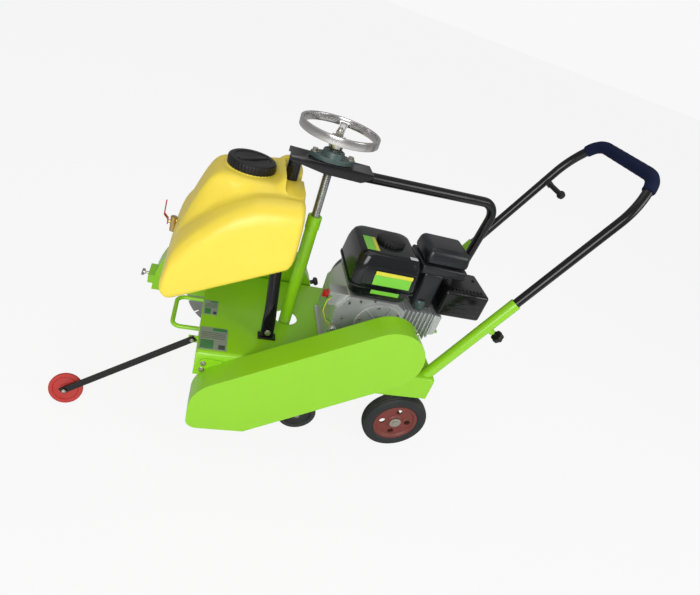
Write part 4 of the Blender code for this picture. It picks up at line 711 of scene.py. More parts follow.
class SAW_OT_depth_control(bpy.types.Operator):
    """Bracket, flange bearing, threaded screw, handwheel, dome nut and lift tube"""

    bl_idname = "saw.depth_control"
    bl_label = "Depth control"

    def execute(self, context):
        bracket = dressed("screw_bracket", black_gloss(), 0.0014)
        corners = [(-0.02, 0.700), (-0.02, 0.7610), (0.098, 0.7425), (0.098, 0.700)]
        wedge = np.array([[at(x, y, z) for x, z in corners] for y in (-0.06, 0.06)])
        carve(bracket, [strip(wedge)])
        dressed("lift_tube", lime(), 0.0008)
        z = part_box("bearing_housing")[0].z
        middle = at(MAST, 0, z)
        turn = np.linspace(0, 2 * np.pi, 96, endpoint=False)
        reach = 0.0565 - 0.0265 * np.abs(np.sin(turn)) ** 0.85
        ears = np.array([np.column_stack([middle[0] + (reach - inset) * np.cos(turn),
                                          (reach - inset) * np.sin(turn), np.full(len(turn), z + level)])
                         for inset, level in ((0.0008, 0), (0, 0.001), (0, 0.0105), (0.0012, 0.0120))])
        bore = 0.0103
        boss = lathe([(0.0290, 0.010), (0.0285, 0.013), (0.0262, 0.0240), (0.0235, 0.0255), (0.0205, 0.0255),
                      (0.0200, 0.0235), (0.0165, 0.0235), (0.0155, 0.0250), (bore, 0.0250), (bore, 0.010)],
                     middle, UP, 56, closed=True)
        piece("flange_bearing", [strip(ears), boss], "machine", grey_green(),
              ("bearing_housing",), sharp=30)
        heads = []
        for sign in (-1, 1):
            heads += bolt(at(MAST + sign * 0.045, 0, z + 0.0122), UP, 0.0095, 0.0065)
        piece("bearing_bolts", heads, "machine", zinc())
        low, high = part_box("depth_screw")
        pitch = settings()[2].thread_pitch
        thread_top = 0.748
        rows = np.arange(low.z + 0.002, thread_top, pitch / 8)
        turn = np.linspace(0, 2 * np.pi, 28, endpoint=False)
        phase = (rows[:, None] / pitch - turn[None, :] / (2 * np.pi)) % 1.0
        tooth = np.clip(1.5 - 3.4 * np.abs(phase - 0.5), 0, 1)
        radius = 0.0092 + 0.0016 * tooth
        grid = np.stack([at(MAST, 0, 0)[0] + radius * np.cos(turn), radius * np.sin(turn),
                         np.repeat(rows[:, None], len(turn), 1)], -1)
        upper = lathe([(0.0100, thread_top - 0.002), (0.0100, high.z - 0.0135), (0.0058, high.z - 0.0128),
                       (0.0058, high.z)], at(MAST, 0, 0), UP, 32)
        piece("threaded_screw", [strip(grid), upper], "screw", drawn_steel(), ("depth_screw",),
              sharp=40)
        self.handwheel()
        low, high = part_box("dome_nut")
        nut = lathe([(0.0095, 0), (0.0095, 0.0085), (0.0088, 0.0096)], (low.x + 0.00945, 0, low.z), UP, 6)
        dome = lathe([(0.0078, 0.008), (0.0078, 0.011), (0.0068, 0.0155), (0.0045, 0.0188), (0.0012, 0.0205)],
                     (low.x + 0.00945, 0, low.z), UP, 32)
        piece("dome_nut_plated", [nut, dome], "screw", zinc(), ("dome_nut",), sharp=35)
        return {"FINISHED"}

    def handwheel(self):
        """A rim of rounded section with three flat spokes that sink to the hub on a smooth curve."""
        low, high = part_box("handwheel")
        centre = at(MAST, 0, 0)
        rim_r, top = (high.x - low.x) / 2 - 0.0002, high.z
        section = round_rect(0.0040, 0.0100, 0.0016, 3) + [rim_r - 0.0040, top - 0.0101]
        shells = [lathe(section, centre, UP, 96, closed=True)]
        foot = low.z
        hub = [(0.0104, foot), (0.0150, foot), (0.0178, foot + 0.004), (0.0185, foot + 0.018),
               (0.0175, foot + 0.0305), (0.0160, foot + 0.0318), (0.0104, foot + 0.0318)]
        shells.append(lathe(hub, centre, UP, 48, closed=True))
        share = np.linspace(0, 1, 16)
        out = 0.014 + (rim_r - 0.0065 - 0.014) * share
        rise = foot + 0.0215 + (top - 0.0120 - foot - 0.0215) * (share * share * (3 - 2 * share))
        half_wide = 0.0105 - 0.0030 * np.sin(share * np.pi) + 0.002 * share
        across = np.linspace(0, 2 * np.pi, 20, endpoint=False)
        for i in range(SPOKES):
            angle = math.radians(75) + i * 2 * np.pi / SPOKES
            ahead = np.array([math.cos(angle), math.sin(angle), 0])
            aside = np.array([-math.sin(angle), math.cos(angle), 0])
            wide = np.sign(np.cos(across)) * np.abs(np.cos(across)) ** 0.5
            tall = np.sign(np.sin(across)) * np.abs(np.sin(across)) ** 0.7
            points = (centre + out[:, None, None] * ahead + (half_wide[:, None] * wide)[:, :, None] * aside
                      + (rise[:, None] + 0.0034 * tall[None, :])[:, :, None] * np.array(UP))
            shells.append(strip(points))
        piece("handwheel_chromed", shells, "screw", chrome(), ("handwheel",), sharp=40)


class SAW_OT_wheels(bpy.types.Operator):
    """Rear tyres with ring grooves, cast hubs, front wheels and their fastenings"""

    bl_idname = "saw.wheels"
    bl_label = "Wheels"

    def execute(self, context):
        steps = settings()[2].tyre_steps * 4
        for word, sign in (("left", -1), ("right", 1)):
            low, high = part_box(f"rear_tyre_{word}")
            centre = np.array((low + high) / 2)
            half = (high.y - low.y) / 2
            radius = (high.z - low.z) / 2 - 0.0001
            t = np.linspace(-1, 1, 61)
            crown = radius - 0.0030 * np.abs(t) ** 3.2
            wall = [(0.0690, -half + 0.0045), (0.074, -half + 0.0015), (0.081, -half + 0.0003),
                    (0.088, -half + 0.0006), (0.0935, -half + 0.0030)]
            tread = [(r, s * (half - 0.0052)) for r, s in zip(crown, t)]
            rows = np.array(wall + tread + [(r, -y) for r, y in wall[::-1]])
            lane = np.abs(rows[:, 1]) / half
            on_tread = rows[:, 0] > radius - 0.006
            rings = (np.abs(lane - 0.22) < 0.035) | (np.abs(lane - 0.62) < 0.035)
            rows[:, 0] -= 0.0022 * (rings & on_tread)
            shell = lathe(rows, centre, BLADE_SIDE, steps, closed=True)
            ridge = lathe([(0.0835, half - 0.0004), (0.0840, half), (0.0852, half), (0.0857, half - 0.0004)],
                             centre, (0, sign, 0), steps, closed=True)
            piece(f"rear_tyre_{word}_moulded", [shell, ridge], f"rear_wheel_{word}", tyre_rubber(),
                  (f"rear_tyre_{word}",), sharp=25)
            dressed(f"rear_hub_{word}", red_casting(), 0.0014)
            side = np.array([0, sign, 0])
            face = np.array([centre[0], 0, centre[2]]) + side * HUB_FACE_Y
            ring = lathe([(0.0175, 0), (0.0175, 0.0016), (0.0165, 0.0020), (0.005, 0.0020)],
                         face, side, 40)
            nut = lathe([(0.0088, 0.0020), (0.0088, 0.0046), (0.0078, 0.0052)],
                        face, side, 6)
            piece(f"axle_end_{word}", [ring, nut], f"rear_wheel_{word}", zinc())
            dressed(f"front_wheel_{word}", soft_rubber(), 0.0012)
        return {"FINISHED"}


class SAW_OT_tank(bpy.types.Operator):
    """Moulded saddle tank, ribbed cap and tap"""

    bl_idname = "saw.tank"
    bl_label = "Water tank"

    def execute(self, context):
        self.shell()
        self.cap()
        dressed("tap_body", brass(), 0.0006)
        dressed("tap_lever", finish("red dipped steel", (0.45, 0.020, 0.012), 0.35, grain=300, wear=0.5,
                                    dust=0.05),
                0.0006)
        return {"FINISHED"}

    def shell(self):
        """Cross sections along x, each a smooth closed curve through control points. The crown, ridge and
        base heights, the half width and the neck follow tables in x; both ends draw in on a quarter turn."""
        reach = np.linspace(0, np.pi, 96)
        x = -0.0895 - 0.1435 * np.cos(reach)

        def table(places, heights):
            """The table read at fine steps and blurred over a few millimetres, so it has no kinks."""
            fine = np.arange(-0.30, 0.13, 0.001)
            ends = [places[0] - 1, *places, places[-1] + 1]
            first = (heights[1] - heights[0]) / (places[1] - places[0])
            last = (heights[-1] - heights[-2]) / (places[-1] - places[-2])
            levels = [heights[0] - first, *heights, heights[-1] + last]
            bell = np.exp(-0.5 * (np.arange(-20, 21) / 6.0) ** 2)
            blurred = np.convolve(np.interp(fine, ends, levels), bell / bell.sum(), "same")
            return np.interp(x, fine, blurred)
        crown = table([-0.233, -0.218, -0.200, -0.186, -0.172, -0.160,
                       -0.146, -0.120, -0.020, 0.004, 0.030, 0.054],
                      [0.468, 0.536, 0.588, 0.628, 0.663, 0.686, 0.699, 0.7050, 0.7065, 0.735, 0.739, 0.722])
        ridge = table([-0.233, -0.218, -0.200, -0.178, -0.150, -0.131, -0.100, -0.057, 0.000, 0.054],
                      [0.466, 0.526, 0.557, 0.587, 0.618, 0.638, 0.662, 0.685, 0.697, 0.699])
        base = table([-0.233, -0.210, 0.054], [0.416, 0.406, 0.546])
        wide = table([-0.231, -0.200, -0.160, 0.054], [0.174, 0.1755, 0.1760, 0.1760])
        neck = table([-0.231, -0.190, -0.150, -0.110, 0.054], [0.050, 0.056, 0.064, 0.076, 0.080])
        ahead, behind = x - x[0], x[-1] - x
        soft = 0.017
        left = np.maximum(soft - np.minimum(ahead, behind), 0)
        drawn = soft - np.sqrt(np.maximum(soft ** 2 - left ** 2, 0))
        crown, ridge, base = crown - drawn, ridge - drawn, base + drawn
        wide, neck = wide - drawn, neck - 0.6 * drawn
        crown = np.maximum(crown, ridge + 0.001)
        size = np.clip((ridge - base) / 0.14, 0, 1)
        lift = np.clip((crown - ridge) / 0.05, 0, 1)
        outline = [(0.4 * neck, crown), (0.78 * neck, crown - 0.001 * lift),
                   (neck - 0.001, crown - 0.008 * lift),
                   (neck + 0.010, ridge * 0.45 + crown * 0.55 - 0.003 * lift),
                   (neck + 0.021, ridge + 0.008 * lift), (neck + 0.034, ridge + 0.002),
                   (neck + 0.050, ridge + 0.002), (wide - 0.028, ridge - 0.004 * size),
                   (wide - 0.013, ridge - 0.017 * size), (wide - 0.004, ridge - 0.036 * size),
                   (wide, ridge - 0.066 * size), (wide, base * 0.75 + ridge * 0.25),
                   (wide - 0.002, base + 0.014 * size), (wide - 0.008, base + 0.004 * size),
                   (wide - 0.020, base), (wide * 0.5, base), (wide * 0.12, base)]
        right = np.stack([np.stack([w, h], -1) for w, h in outline], 1)
        section = smooth_loops(np.concatenate([right, right[:, ::-1] * np.array([-1, 1])], 1), 6)
        points = np.concatenate([np.repeat((x - MIDDLE)[:, None, None], section.shape[1], 1), section], 2)
        tank = piece("tank_moulding", [strip(points)], "machine", tank_plastic(),
                     ("water_tank",))
        room = 0.0195
        near_slot = soft_box((0.002 - MIDDLE, -0.150, 0.7015), (0.2, room - 0.001, 0.900), 0.012, steps=6)
        lower = soft_box((at(0.022, 0, 0)[0] - room, -room, -0.30), (0.2, room, 0.18), 0.012)
        lean = np.array([0.023, -0.092, -0.290])
        carve(tank, [near_slot, placed(lower, (0, 0, 0.640), AFT, -lean * np.array([0, 1, 1]))])
        neck_ring = lathe([(0.0485, 0.700), (0.0485, 0.7085), (0.0560, 0.7080), (0.0600, 0.7040),
                           (0.0600, 0.700)],
                          at(TANK_MOUTH, 0, 0), UP, 64, closed=True)
        piece("tank_neck", [neck_ring], "machine", tank_plastic())

    def cap(self):
        """A screw cap: ribs are a raised cosine round its skirt, with a stepped, dished top."""
        ribs = settings()[2].cap_ribs
        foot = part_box("tank_cap")[0].z
        rows = [(0.0502, foot + 0.0105), (0.0502, foot), (0.0560, foot), (0.0572, foot + 0.0015),
                (0.0572, foot + 0.017), (0.0560, foot + 0.0200), (0.0530, foot + 0.0222),
                (0.0440, foot + 0.0228), (0.0425, foot + 0.0205), (0.0150, foot + 0.0200),
                (0.0120, foot + 0.0190), (0.0020, foot + 0.0188)]

        def ribbed(turn, row):
            """Draws the skirt's two rows in between the ribs."""
            on_skirt = (row >= 3) & (row <= 4)
            return 1 - on_skirt * 0.020 * (0.5 + 0.5 * np.cos(turn * ribs)) ** 2
        shell = lathe(rows, at(TANK_MOUTH, 0, 0), UP, ribs * 8, swell=ribbed)
        bar = soft_box((-0.040, -0.006, 0), (0.040, 0.006, 0.0052), 0.002)
        bar = placed(bar, at(TANK_MOUTH, 0, foot + 0.0178), (math.cos(0.6), math.sin(0.6), 0), UP)
        piece("tank_cap_moulded", [shell, bar], "tank_cap", black_moulding(), ("tank_cap",),
              sharp=28)


def carve(obj, shells):
    """Takes shells away from an object for good, after its own modifiers."""
    cutters = []
    for i, shell in enumerate(shells):
        cutter = meshed(f"cutter {i}", [shell])
        step = obj.modifiers.new(cutter.name, "BOOLEAN")
        step.operation, step.object, step.solver = "DIFFERENCE", cutter, "EXACT"
        cutters.append(cutter)
    bpy.context.view_layer.update()
    result = bpy.data.meshes.new_from_object(obj.evaluated_get(bpy.context.evaluated_depsgraph_get()))
    obj.modifiers.clear()
    obj.data = result
    result.shade_smooth()
    result.set_sharp_from_angle(angle=math.radians(40))
    for cutter in cutters:
        bpy.data.objects.remove(cutter, do_unlink=True)


class SAW_OT_cutting_head(bpy.types.Operator):
    """Blade, shaft, flanges, pulleys, belt and both guards with their fastenings"""

    bl_idname = "saw.cutting_head"
    bl_label = "Cutting head"

    def execute(self, context):
        for node, material, slot in (("blade_shaft", zinc(), "zinc_steel"),
                                     ("blade_flange_inner", zinc(), "zinc_steel"),
                                     ("blade_flange_outer", zinc(), "zinc_steel"),
                                     ("blade_nut", zinc(), "zinc_steel"),
                                     ("saw_blade", drawn_steel(), "blade_steel"),
                                     ("blade_pulley", casting(), "cast_alloy"),
                                     ("engine_pulley", casting(), "cast_alloy"),
                                     ("crankshaft", zinc(), "zinc_steel"),
                                     ("drive_belt", soft_rubber(), "drive_rubber")):
            dressed(node, material, 0.0005)
        dressed("belt_guard", lime(), 0.0022)
        dressed("blade_guard", lime(), 0.0016)
        dressed("wing_screw", zinc(), 0.0006)
        dressed("guard_knob", soft_rubber(), 0.0006)
        heads = []
        for x, z in ((-0.1065, 0.2295), (-0.1045, 0.2500)):
            heads += bolt(at(x, -0.2008, z), BELT_SIDE, 0.0070, 0.0045)
        rim = np.array([math.cos(math.radians(52)), 0, math.sin(math.radians(52))])
        centre = at(ENGINE_SHAFT[0], -0.232, ENGINE_SHAFT[1])
        heads += bolt(centre + rim * 0.0942, rim, 0.0058, 0.0032)
        piece("belt_guard_bolts", heads, "machine", zinc())
        return {"FINISHED"}


class SAW_OT_engine(bpy.types.Operator):
    """Crankcase, finned cylinder, tank, filter, muffler, starter and small fittings"""

    bl_idname = "saw.engine"
    bl_label = "Engine"

    def execute(self, context):
        self.case()
        self.cylinder()
        self.fuel_tank()
        self.filter_box()
        self.muffler()
        self.starter()
        self.fittings()
        return {"FINISHED"}

    def case(self):
        """Crankcase: the frame's casting with softened edges, a ribbed side cover and its bolts."""
        dressed("engine_case", casting(), 0.0030)
        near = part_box("engine_case")[0].y + 0.0110
        shaft = at(ENGINE_SHAFT[0], near, ENGINE_SHAFT[1])
        turn = np.linspace(0, 2 * np.pi, COVER_RIBS + 1)[:-1] + 0.3
        shells = [lathe([(0.034, 0.0), (0.070, 0.0), (0.072, 0.002), (0.070, 0.0065), (0.066, 0.0075),
                         (0.034, 0.0075)],
                        shaft, BELT_SIDE, 64, closed=True)]
        for angle in turn:
            ahead = np.array([math.cos(angle), 0, math.sin(angle)])
            rib = soft_box((0.032, -0.002, 0), (0.068, 0.002, 0.0092), 0.0012)
            shells.append(placed(rib, shaft, ahead, BELT_SIDE))
        for x, z in ((0.222, 0.322), (0.214, 0.355)):
            shells.append(lathe([(0.0115, 0.0), (0.0115, 0.009), (0.0090, 0.0115), (0.0050, 0.012)],
                                at(x, near - 0.004, z), BELT_SIDE, 32))
        piece("crankcase_cover", shells, "machine", casting())
        heads = []
        for angle in turn + np.pi / COVER_RIBS:
            heads += bolt(shaft + 0.063 * np.array([math.cos(angle), 0, math.sin(angle)])
                          + np.array([0, -0.0074, 0]), BELT_SIDE, 0.0050, 0.0035, washer=False)
        for x, z in ((0.232, 0.452), (0.262, 0.462), (0.300, 0.470), (0.232, 0.330), (0.226, 0.400)):
            heads += bolt(at(x, near - 0.0106, z), BELT_SIDE, 0.0046, 0.0034, washer=False)
        for x in (0.212, 0.395):
            heads += bolt(at(x, -0.1155 + 0.004, DECK_TOP + 0.0106), UP, 0.0066, 0.0055)
        piece("crankcase_bolts", heads, "machine", zinc())

    def cylinder(self):
        """Cooling fins are thin rounded plates along the cylinder; the head has its cover and bolts."""
        low, high = (np.array(corner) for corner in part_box("cylinder_head"))
        middle = (low + high) / 2
        shells = [soft_box((low[0], low[1] + 0.016, low[2] + 0.012),
                           (high[0] - 0.030, high[1] - 0.014, high[2] - 0.010), 0.008)]
        for i in range(FINS):
            x = low[0] + 0.006 + i * FIN_PITCH
            fin = soft_box((-0.049, -0.0605, 0), (0.045, 0.0605, 0.0034), 0.0016)
            shells.append(placed(fin, (x, middle[1], middle[2]), UP, AFT))
        piece("cylinder_fins", shells, "machine", casting(), ("cylinder_head",))
        lid = soft_box((-0.038, -0.052, 0), (0.038, 0.052, 0.026), 0.007, draft=0.003)
        lid = placed(lid, (high[0] - 0.0262, middle[1], middle[2]), UP, AFT)
        rim = soft_box((-0.043, -0.057, 0), (0.043, 0.057, 0.006), 0.002)
        rim = placed(rim, (high[0] - 0.032, middle[1], middle[2]), UP, AFT)
        piece("rocker_cover", [lid, rim], "machine", casting())
        heads = []
        for dy in (-0.046, 0.046):
            for dz in (-0.033, 0.033):
                heads += bolt((high[0] - 0.026, middle[1] + dy, middle[2] + dz), AFT,
                              0.0052, 0.004, washer=False)
        piece("rocker_cover_bolts", heads, "machine", zinc())

    def fuel_tank(self):
        """Two pressed halves that meet in a flat seam: round rectangles whose size follows the height."""
        low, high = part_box("fuel_tank")
        middle = np.array((low + high) / 2)
        half = np.array((high - low) / 2)
        seam = FUEL_SEAM

        def stack(rows):
            """A shell of round rectangles, one for each height, inset and corner radius."""
            grid = []
            for z, inset, radius in rows:
                flat = round_rect(half[0] - inset, half[1] - inset, radius, 8)
                grid.append(np.column_stack([flat + middle[:2], np.full(len(flat), z)]))
            return strip(np.array(grid))
        top = high.z
        upper = stack([(seam, 0.0040, 0.022), (seam + 0.010, 0.0030, 0.022), (top - 0.040, 0.0060, 0.024),
                       (top - 0.022, 0.0090, 0.026), (top - 0.009, 0.0130, 0.028),
                       (top - 0.0035, 0.0180, 0.028), (top - 0.0008, 0.0240, 0.028), (top, 0.0300, 0.026)])
        lower = stack([(low.z, 0.026, 0.018), (low.z + 0.004, 0.018, 0.020), (low.z + 0.016, 0.010, 0.022),
                       (seam, 0.0050, 0.022)])
        lip = stack([(seam - 0.0022, 0.0010, 0.024), (seam - 0.0022, 0.0002, 0.024),
                     (seam + 0.0022, 0.0002, 0.024), (seam + 0.0022, 0.0010, 0.024)])
        panel = placed(soft_box((-0.074, -0.027, -0.004), (0.074, 0.027, 0.0022), 0.003, draft=0.002),
                       (middle[0] + 0.006, low.y + 0.0042, seam + 0.034), AFT, (0, -1, 0.10))
        piece("fuel_tank_pressed", [upper, lower, lip, panel], "machine", glossy_moulding(),
              ("fuel_tank",), sharp=24)
        low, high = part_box("fuel_cap")
        centre = ((low.x + high.x) / 2, (low.y + high.y) / 2, low.z)
        rows = [(0.0380, 0), (0.0395, 0.001), (0.0395, 0.0080), (0.0372, 0.0105), (0.0330, 0.0128),
                (0.0150, 0.0138), (0.0020, 0.0139)]
        cap = lathe(rows, centre, UP, 160,
                    swell=lambda t, row: 1 - (row < 4) * 0.035 * (0.5 + 0.5 * np.cos(t * 20)) ** 3)
        piece("fuel_cap_moulded", [cap], "fuel_cap", black_moulding(), ("fuel_cap",))
        self.stickers()

    def stickers(self):
        """Plain coloured panels where the tank carries its printed ones."""
        low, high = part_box("fuel_tank")
        lime_panel = finish("lime film", (0.20, 0.62, 0.05), 0.35, grain=200, bump=0.01, wear=0.1,
                            bare_metal=0.0)
        yellow_panel = finish("yellow film", (0.72, 0.66, 0.05), 0.35, grain=200, bump=0.01, wear=0.1,
                              bare_metal=0.0)
        near = low.y

        def film(name, material, place, half, facing):
            """A thin panel with its long side along X."""
            shape = soft_box((-half[0], -half[1], 0), (half[0], half[1], 0.0006), 0.0002)
            piece(name, [placed(shape, place, AFT, facing)], "machine", material)
        leaning = (0, -1, 0.10)
        top = high.z + 0.0001
        film("top_film_lime", lime_panel, (0.2530 - MIDDLE, -0.052, top), (0.0130, 0.0360), UP)
        film("top_film_yellow", yellow_panel, (0.2705 - MIDDLE, -0.052, top), (0.0045, 0.0360), UP)
        film("side_film_lime", lime_panel, (0.3240 - MIDDLE, near + 0.0018, 0.5365), (0.0520, 0.0150),
             leaning)
        film("side_film_yellow", yellow_panel, (0.3240 - MIDDLE, near + 0.0003, 0.5570), (0.0520, 0.0052),
             leaning)
        white_panel = finish("white film", (0.62, 0.62, 0.66), 0.40, grain=200, bump=0.01, wear=0.1,
                             bare_metal=0.0)
        film("top_film_white", white_panel, (0.3700 - MIDDLE, -0.094, top), (0.0110, 0.0070), UP)
        film("low_film_lime", lime_panel, (0.3180 - MIDDLE, near + 0.0061, 0.4960), (0.0400, 0.0060),
             BELT_SIDE)

    def filter_box(self):
        """A soft lid on a shallow base, with the knob that holds it and the elbow down to the carburettor."""
        low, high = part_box("air_filter")
        base = soft_box((low.x, low.y, 0.545), (high.x, high.y, 0.572), 0.006)
        lid = soft_box((low.x + 0.001, low.y + 0.001, 0.574), (high.x - 0.001, high.y - 0.001, high.z), 0.016,
                       steps=6, draft=0.006)
        navy = finish("navy moulding", (0.008, 0.009, 0.013), 0.30, grain=500, bump=0.05, wear=0.2, dust=0.06,
                      bare=(0.05, 0.05, 0.06), bare_metal=0.0)
        elbow = soft_box((0.436 - MIDDLE, -0.056, 0.432), (0.500 - MIDDLE, 0.030, 0.548), 0.010)
        piece("air_filter_moulded", [base, lid, elbow], "machine", navy, ("air_filter",),
              sharp=28)
        knob = lathe([(0.013, 0), (0.013, 0.006), (0.011, 0.009), (0.004, 0.010)],
                     ((low.x + high.x) / 2, (low.y + high.y) / 2, high.z - 0.012), UP, 80,
                     swell=lambda t, row: 1 - 0.05 * (0.5 + 0.5 * np.cos(t * 10)))
        piece("air_filter_knob", [knob], "machine", black_moulding())

    def muffler(self):
        """The muffler's guard: a rounded box with a row of pressed louvres and swaged ribs."""
        low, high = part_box("muffler")
        shells = [soft_box(tuple(low), tuple(high), 0.010, steps=5)]
        for i in range(LOUVRES):
            slat = soft_box((-0.0030, -0.009, -0.002), (0.0030, 0.009, 0.0022), 0.0013)
            shells.append(placed(slat, (low.x + 0.024 + i * LOUVRE_PITCH, low.y + 0.016, high.z + 0.0002),
                                 (1, 0, 0.35), (-0.35, 0, 1)))
        for i in range(3):
            rib = soft_box((-0.052, -0.0022, -0.002), (0.052, 0.0022, 0.0014), 0.0012)
            shells.append(placed(rib, ((low.x + high.x) / 2, low.y, low.z + 0.018 + i * 0.017), AFT,
                                 BELT_SIDE))
        for dx, dy in ((0.020, 0.062), (0.118, 0.088)):
            shells.append(lathe([(0.005, 0), (0.005, 0.002), (0.003, 0.0032)],
                                (low.x + dx, low.y + dy, high.z), UP, 20))
        piece("muffler_guard", shells, "machine", black_gloss(), ("muffler",))

    def starter(self):
        """A dished drum with ribs round its shoulder; also the pull grip, switch and throttle lever."""
        low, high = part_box("recoil_cover")
        centre = np.array([(low.x + high.x) / 2, low.y, STARTER_Z])
        deep = high.y - low.y
        rows = [(0.0985, 0.0), (0.0995, 0.001), (0.0995, 0.030), (0.0960, 0.040), (0.0860, 0.0485),
                (0.0600, deep - 0.006), (0.0560, deep - 0.001), (0.0450, deep - 0.0005),
                (0.0430, deep - 0.004), (0.0100, deep - 0.005)]
        shells = [lathe(rows, centre, BLADE_SIDE, 96)]
        for i in range(STARTER_RIBS):
            angle = i * 2 * np.pi / STARTER_RIBS
            ahead = np.array([math.cos(angle), 0, math.sin(angle)])
            rib = soft_box((-0.013, -0.0018, -0.003), (0.013, 0.0018, 0.0022), 0.0009)
            shells.append(placed(rib, centre + ahead * 0.072 + np.array([0, 0.0565, 0]),
                                 ahead * 0.9 + np.array([0, -0.62, 0]), ahead * 0.62 + np.array([0, 0.9, 0])))
        piece("starter_cover", shells, "machine", black_gloss(), ("recoil_cover",))
        low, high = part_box("starter_grip")
        grip = soft_box(tuple(low), tuple(high), 0.0062, steps=5)
        piece("starter_grip_moulded", [grip], "starter", black_moulding(), ("starter_grip",))
        dressed("engine_switch", red_moulding(), 0.0006)
        dressed("throttle_lever", black_gloss(), 0.0005)

    def fittings(self):
        """Two wires from the switch and the carburettor's bowl."""
        switch = at(0.182, -0.078, 0.440)
        for name, colour, dy in (("yellow_wire", (0.60, 0.52, 0.02), -0.006),
                                 ("green_wire", (0.05, 0.35, 0.03), 0.006)):
            points = np.array([switch + np.array([0.006, -0.0215, 0.006 + dy * 0.3]),
                               switch + np.array([-0.006, -0.032, 0.004 + dy]),
                               switch + np.array([-0.010, -0.034 + dy, -0.030]),
                               switch + np.array([0.006, -0.034 + dy, -0.060]),
                               switch + np.array([0.030, -0.0345, -0.075 + dy])])
            path = resampled(rounded(points, 0.009, 6), 40)
            sheath = finish(name.replace("_", " "), colour, 0.4, grain=300, bump=0.03, wear=0.0,
                            bare_metal=0.0)
            piece(name, [sweep(path, 0.0016, 12)], "machine", sheath)
        bowl = lathe([(0.012, -0.006), (0.016, 0), (0.018, 0.004), (0.018, 0.020), (0.015, 0.026)],
                     at(0.462, -0.048, 0.430), UP, 40)
        piece("carburettor", [bowl], "machine", grey_green())


class SAW_OT_guide(bpy.types.Operator):
    """Folding guide arm with its red wheel"""

    bl_idname = "saw.guide"
    bl_label = "Guide"

    def execute(self, context):
        dressed("pointer_arm", black_gloss(), 0.0006)
        pin = np.array([0, math.cos(GUIDE_LEAN), -math.sin(GUIDE_LEAN)])
        low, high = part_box("pointer_wheel")
        centre = np.array((low + high) / 2)
        radius, deep = (high.x - low.x) / 2 - 0.0001, 0.0040
        rows = [(0.0043, -deep), (0.012, -deep), (0.0135, 0.0018 - deep), (0.029, 0.0018 - deep),
                (0.031, -deep), (radius - 0.002, -deep), (radius, 0.0018 - deep)]
        rows += [(r, -y) for r, y in rows[::-1]]
        piece("guide_wheel", [lathe(rows, centre, pin, 96, closed=True)], "pointer_wheel", red_moulding(),
              ("pointer_wheel",))
        tip = centre - pin * 0.0140
        heads = bolt(tip + np.array([0, -0.0050, 0]), BELT_SIDE, 0.0052, 0.0030)
        heads += bolt(at(-0.140, -0.1451, 0.272), BELT_SIDE, 0.0050, 0.0030)
        piece("guide_pin_heads", heads, "pointer", zinc())
        return {"FINISHED"}


class SAW_OT_plates(bpy.types.Operator):
    """Plain plates on the deck, with coloured fields and rules in place of print"""

    bl_idname = "saw.plates"
    bl_label = "Plates"

    def execute(self, context):
        silver = finish("plate silver", (0.42, 0.47, 0.50), 0.35, metallic=0.6, grain=300, bump=0.02,
                        wear=0.2)
        green = finish("plate green", (0.02, 0.20, 0.05), 0.40, grain=300, bump=0.02, wear=0.2,
                       bare_metal=0.0)
        base = DECK_TOP + 0.0003

        def sheet(name, material, low, high, level):
            """A thin plate between two corners, that many layers up."""
            z = base + 0.0004 * level
            piece(name, [soft_box(at(*low, z), at(*high, z + 0.0004), 0.00015)], "machine", material)
        dark = finish("plate dark", (0.04, 0.06, 0.05), 0.45, grain=300, bump=0.02, wear=0.1, bare_metal=0.0)
        for i, (x0, y0, x1, y1) in enumerate(((-0.1235, -0.184, -0.054, -0.096),
                                              (-0.1235, -0.042, -0.086, 0.024))):
            sheet(f"deck_plate_{i}", silver, (x0, y0), (x1, y1), 0)
            wide, deep = x1 - x0, y1 - y0
            sheet(f"deck_plate_band_{i}", green, (x0 + 0.45 * wide, y1 - 0.16 * deep),
                  (x1 - 0.002, y1 - 0.002), 1)
            sheet(f"deck_plate_field_{i}", green, (x0 + 0.004, y0 + 0.04 * deep),
                  (x0 + 0.52 * wide, y0 + 0.42 * deep), 1)
            sheet(f"deck_plate_key_{i}", dark, (x1 - 0.30 * wide, y0 + 0.05 * deep),
                  (x1 - 0.06 * wide, y0 + 0.24 * deep), 1)
            rules = [soft_box(at(x0 + 0.06 * wide, y0 + k * deep, base + 0.0004),
                              at(x0 + 0.92 * wide, y0 + (k + 0.02) * deep, base + 0.0007), 0.0001)
                     for k in (0.50, 0.58, 0.66, 0.74)]
            piece(f"deck_plate_rules_{i}", rules, "machine", dark)
        return {"FINISHED"}


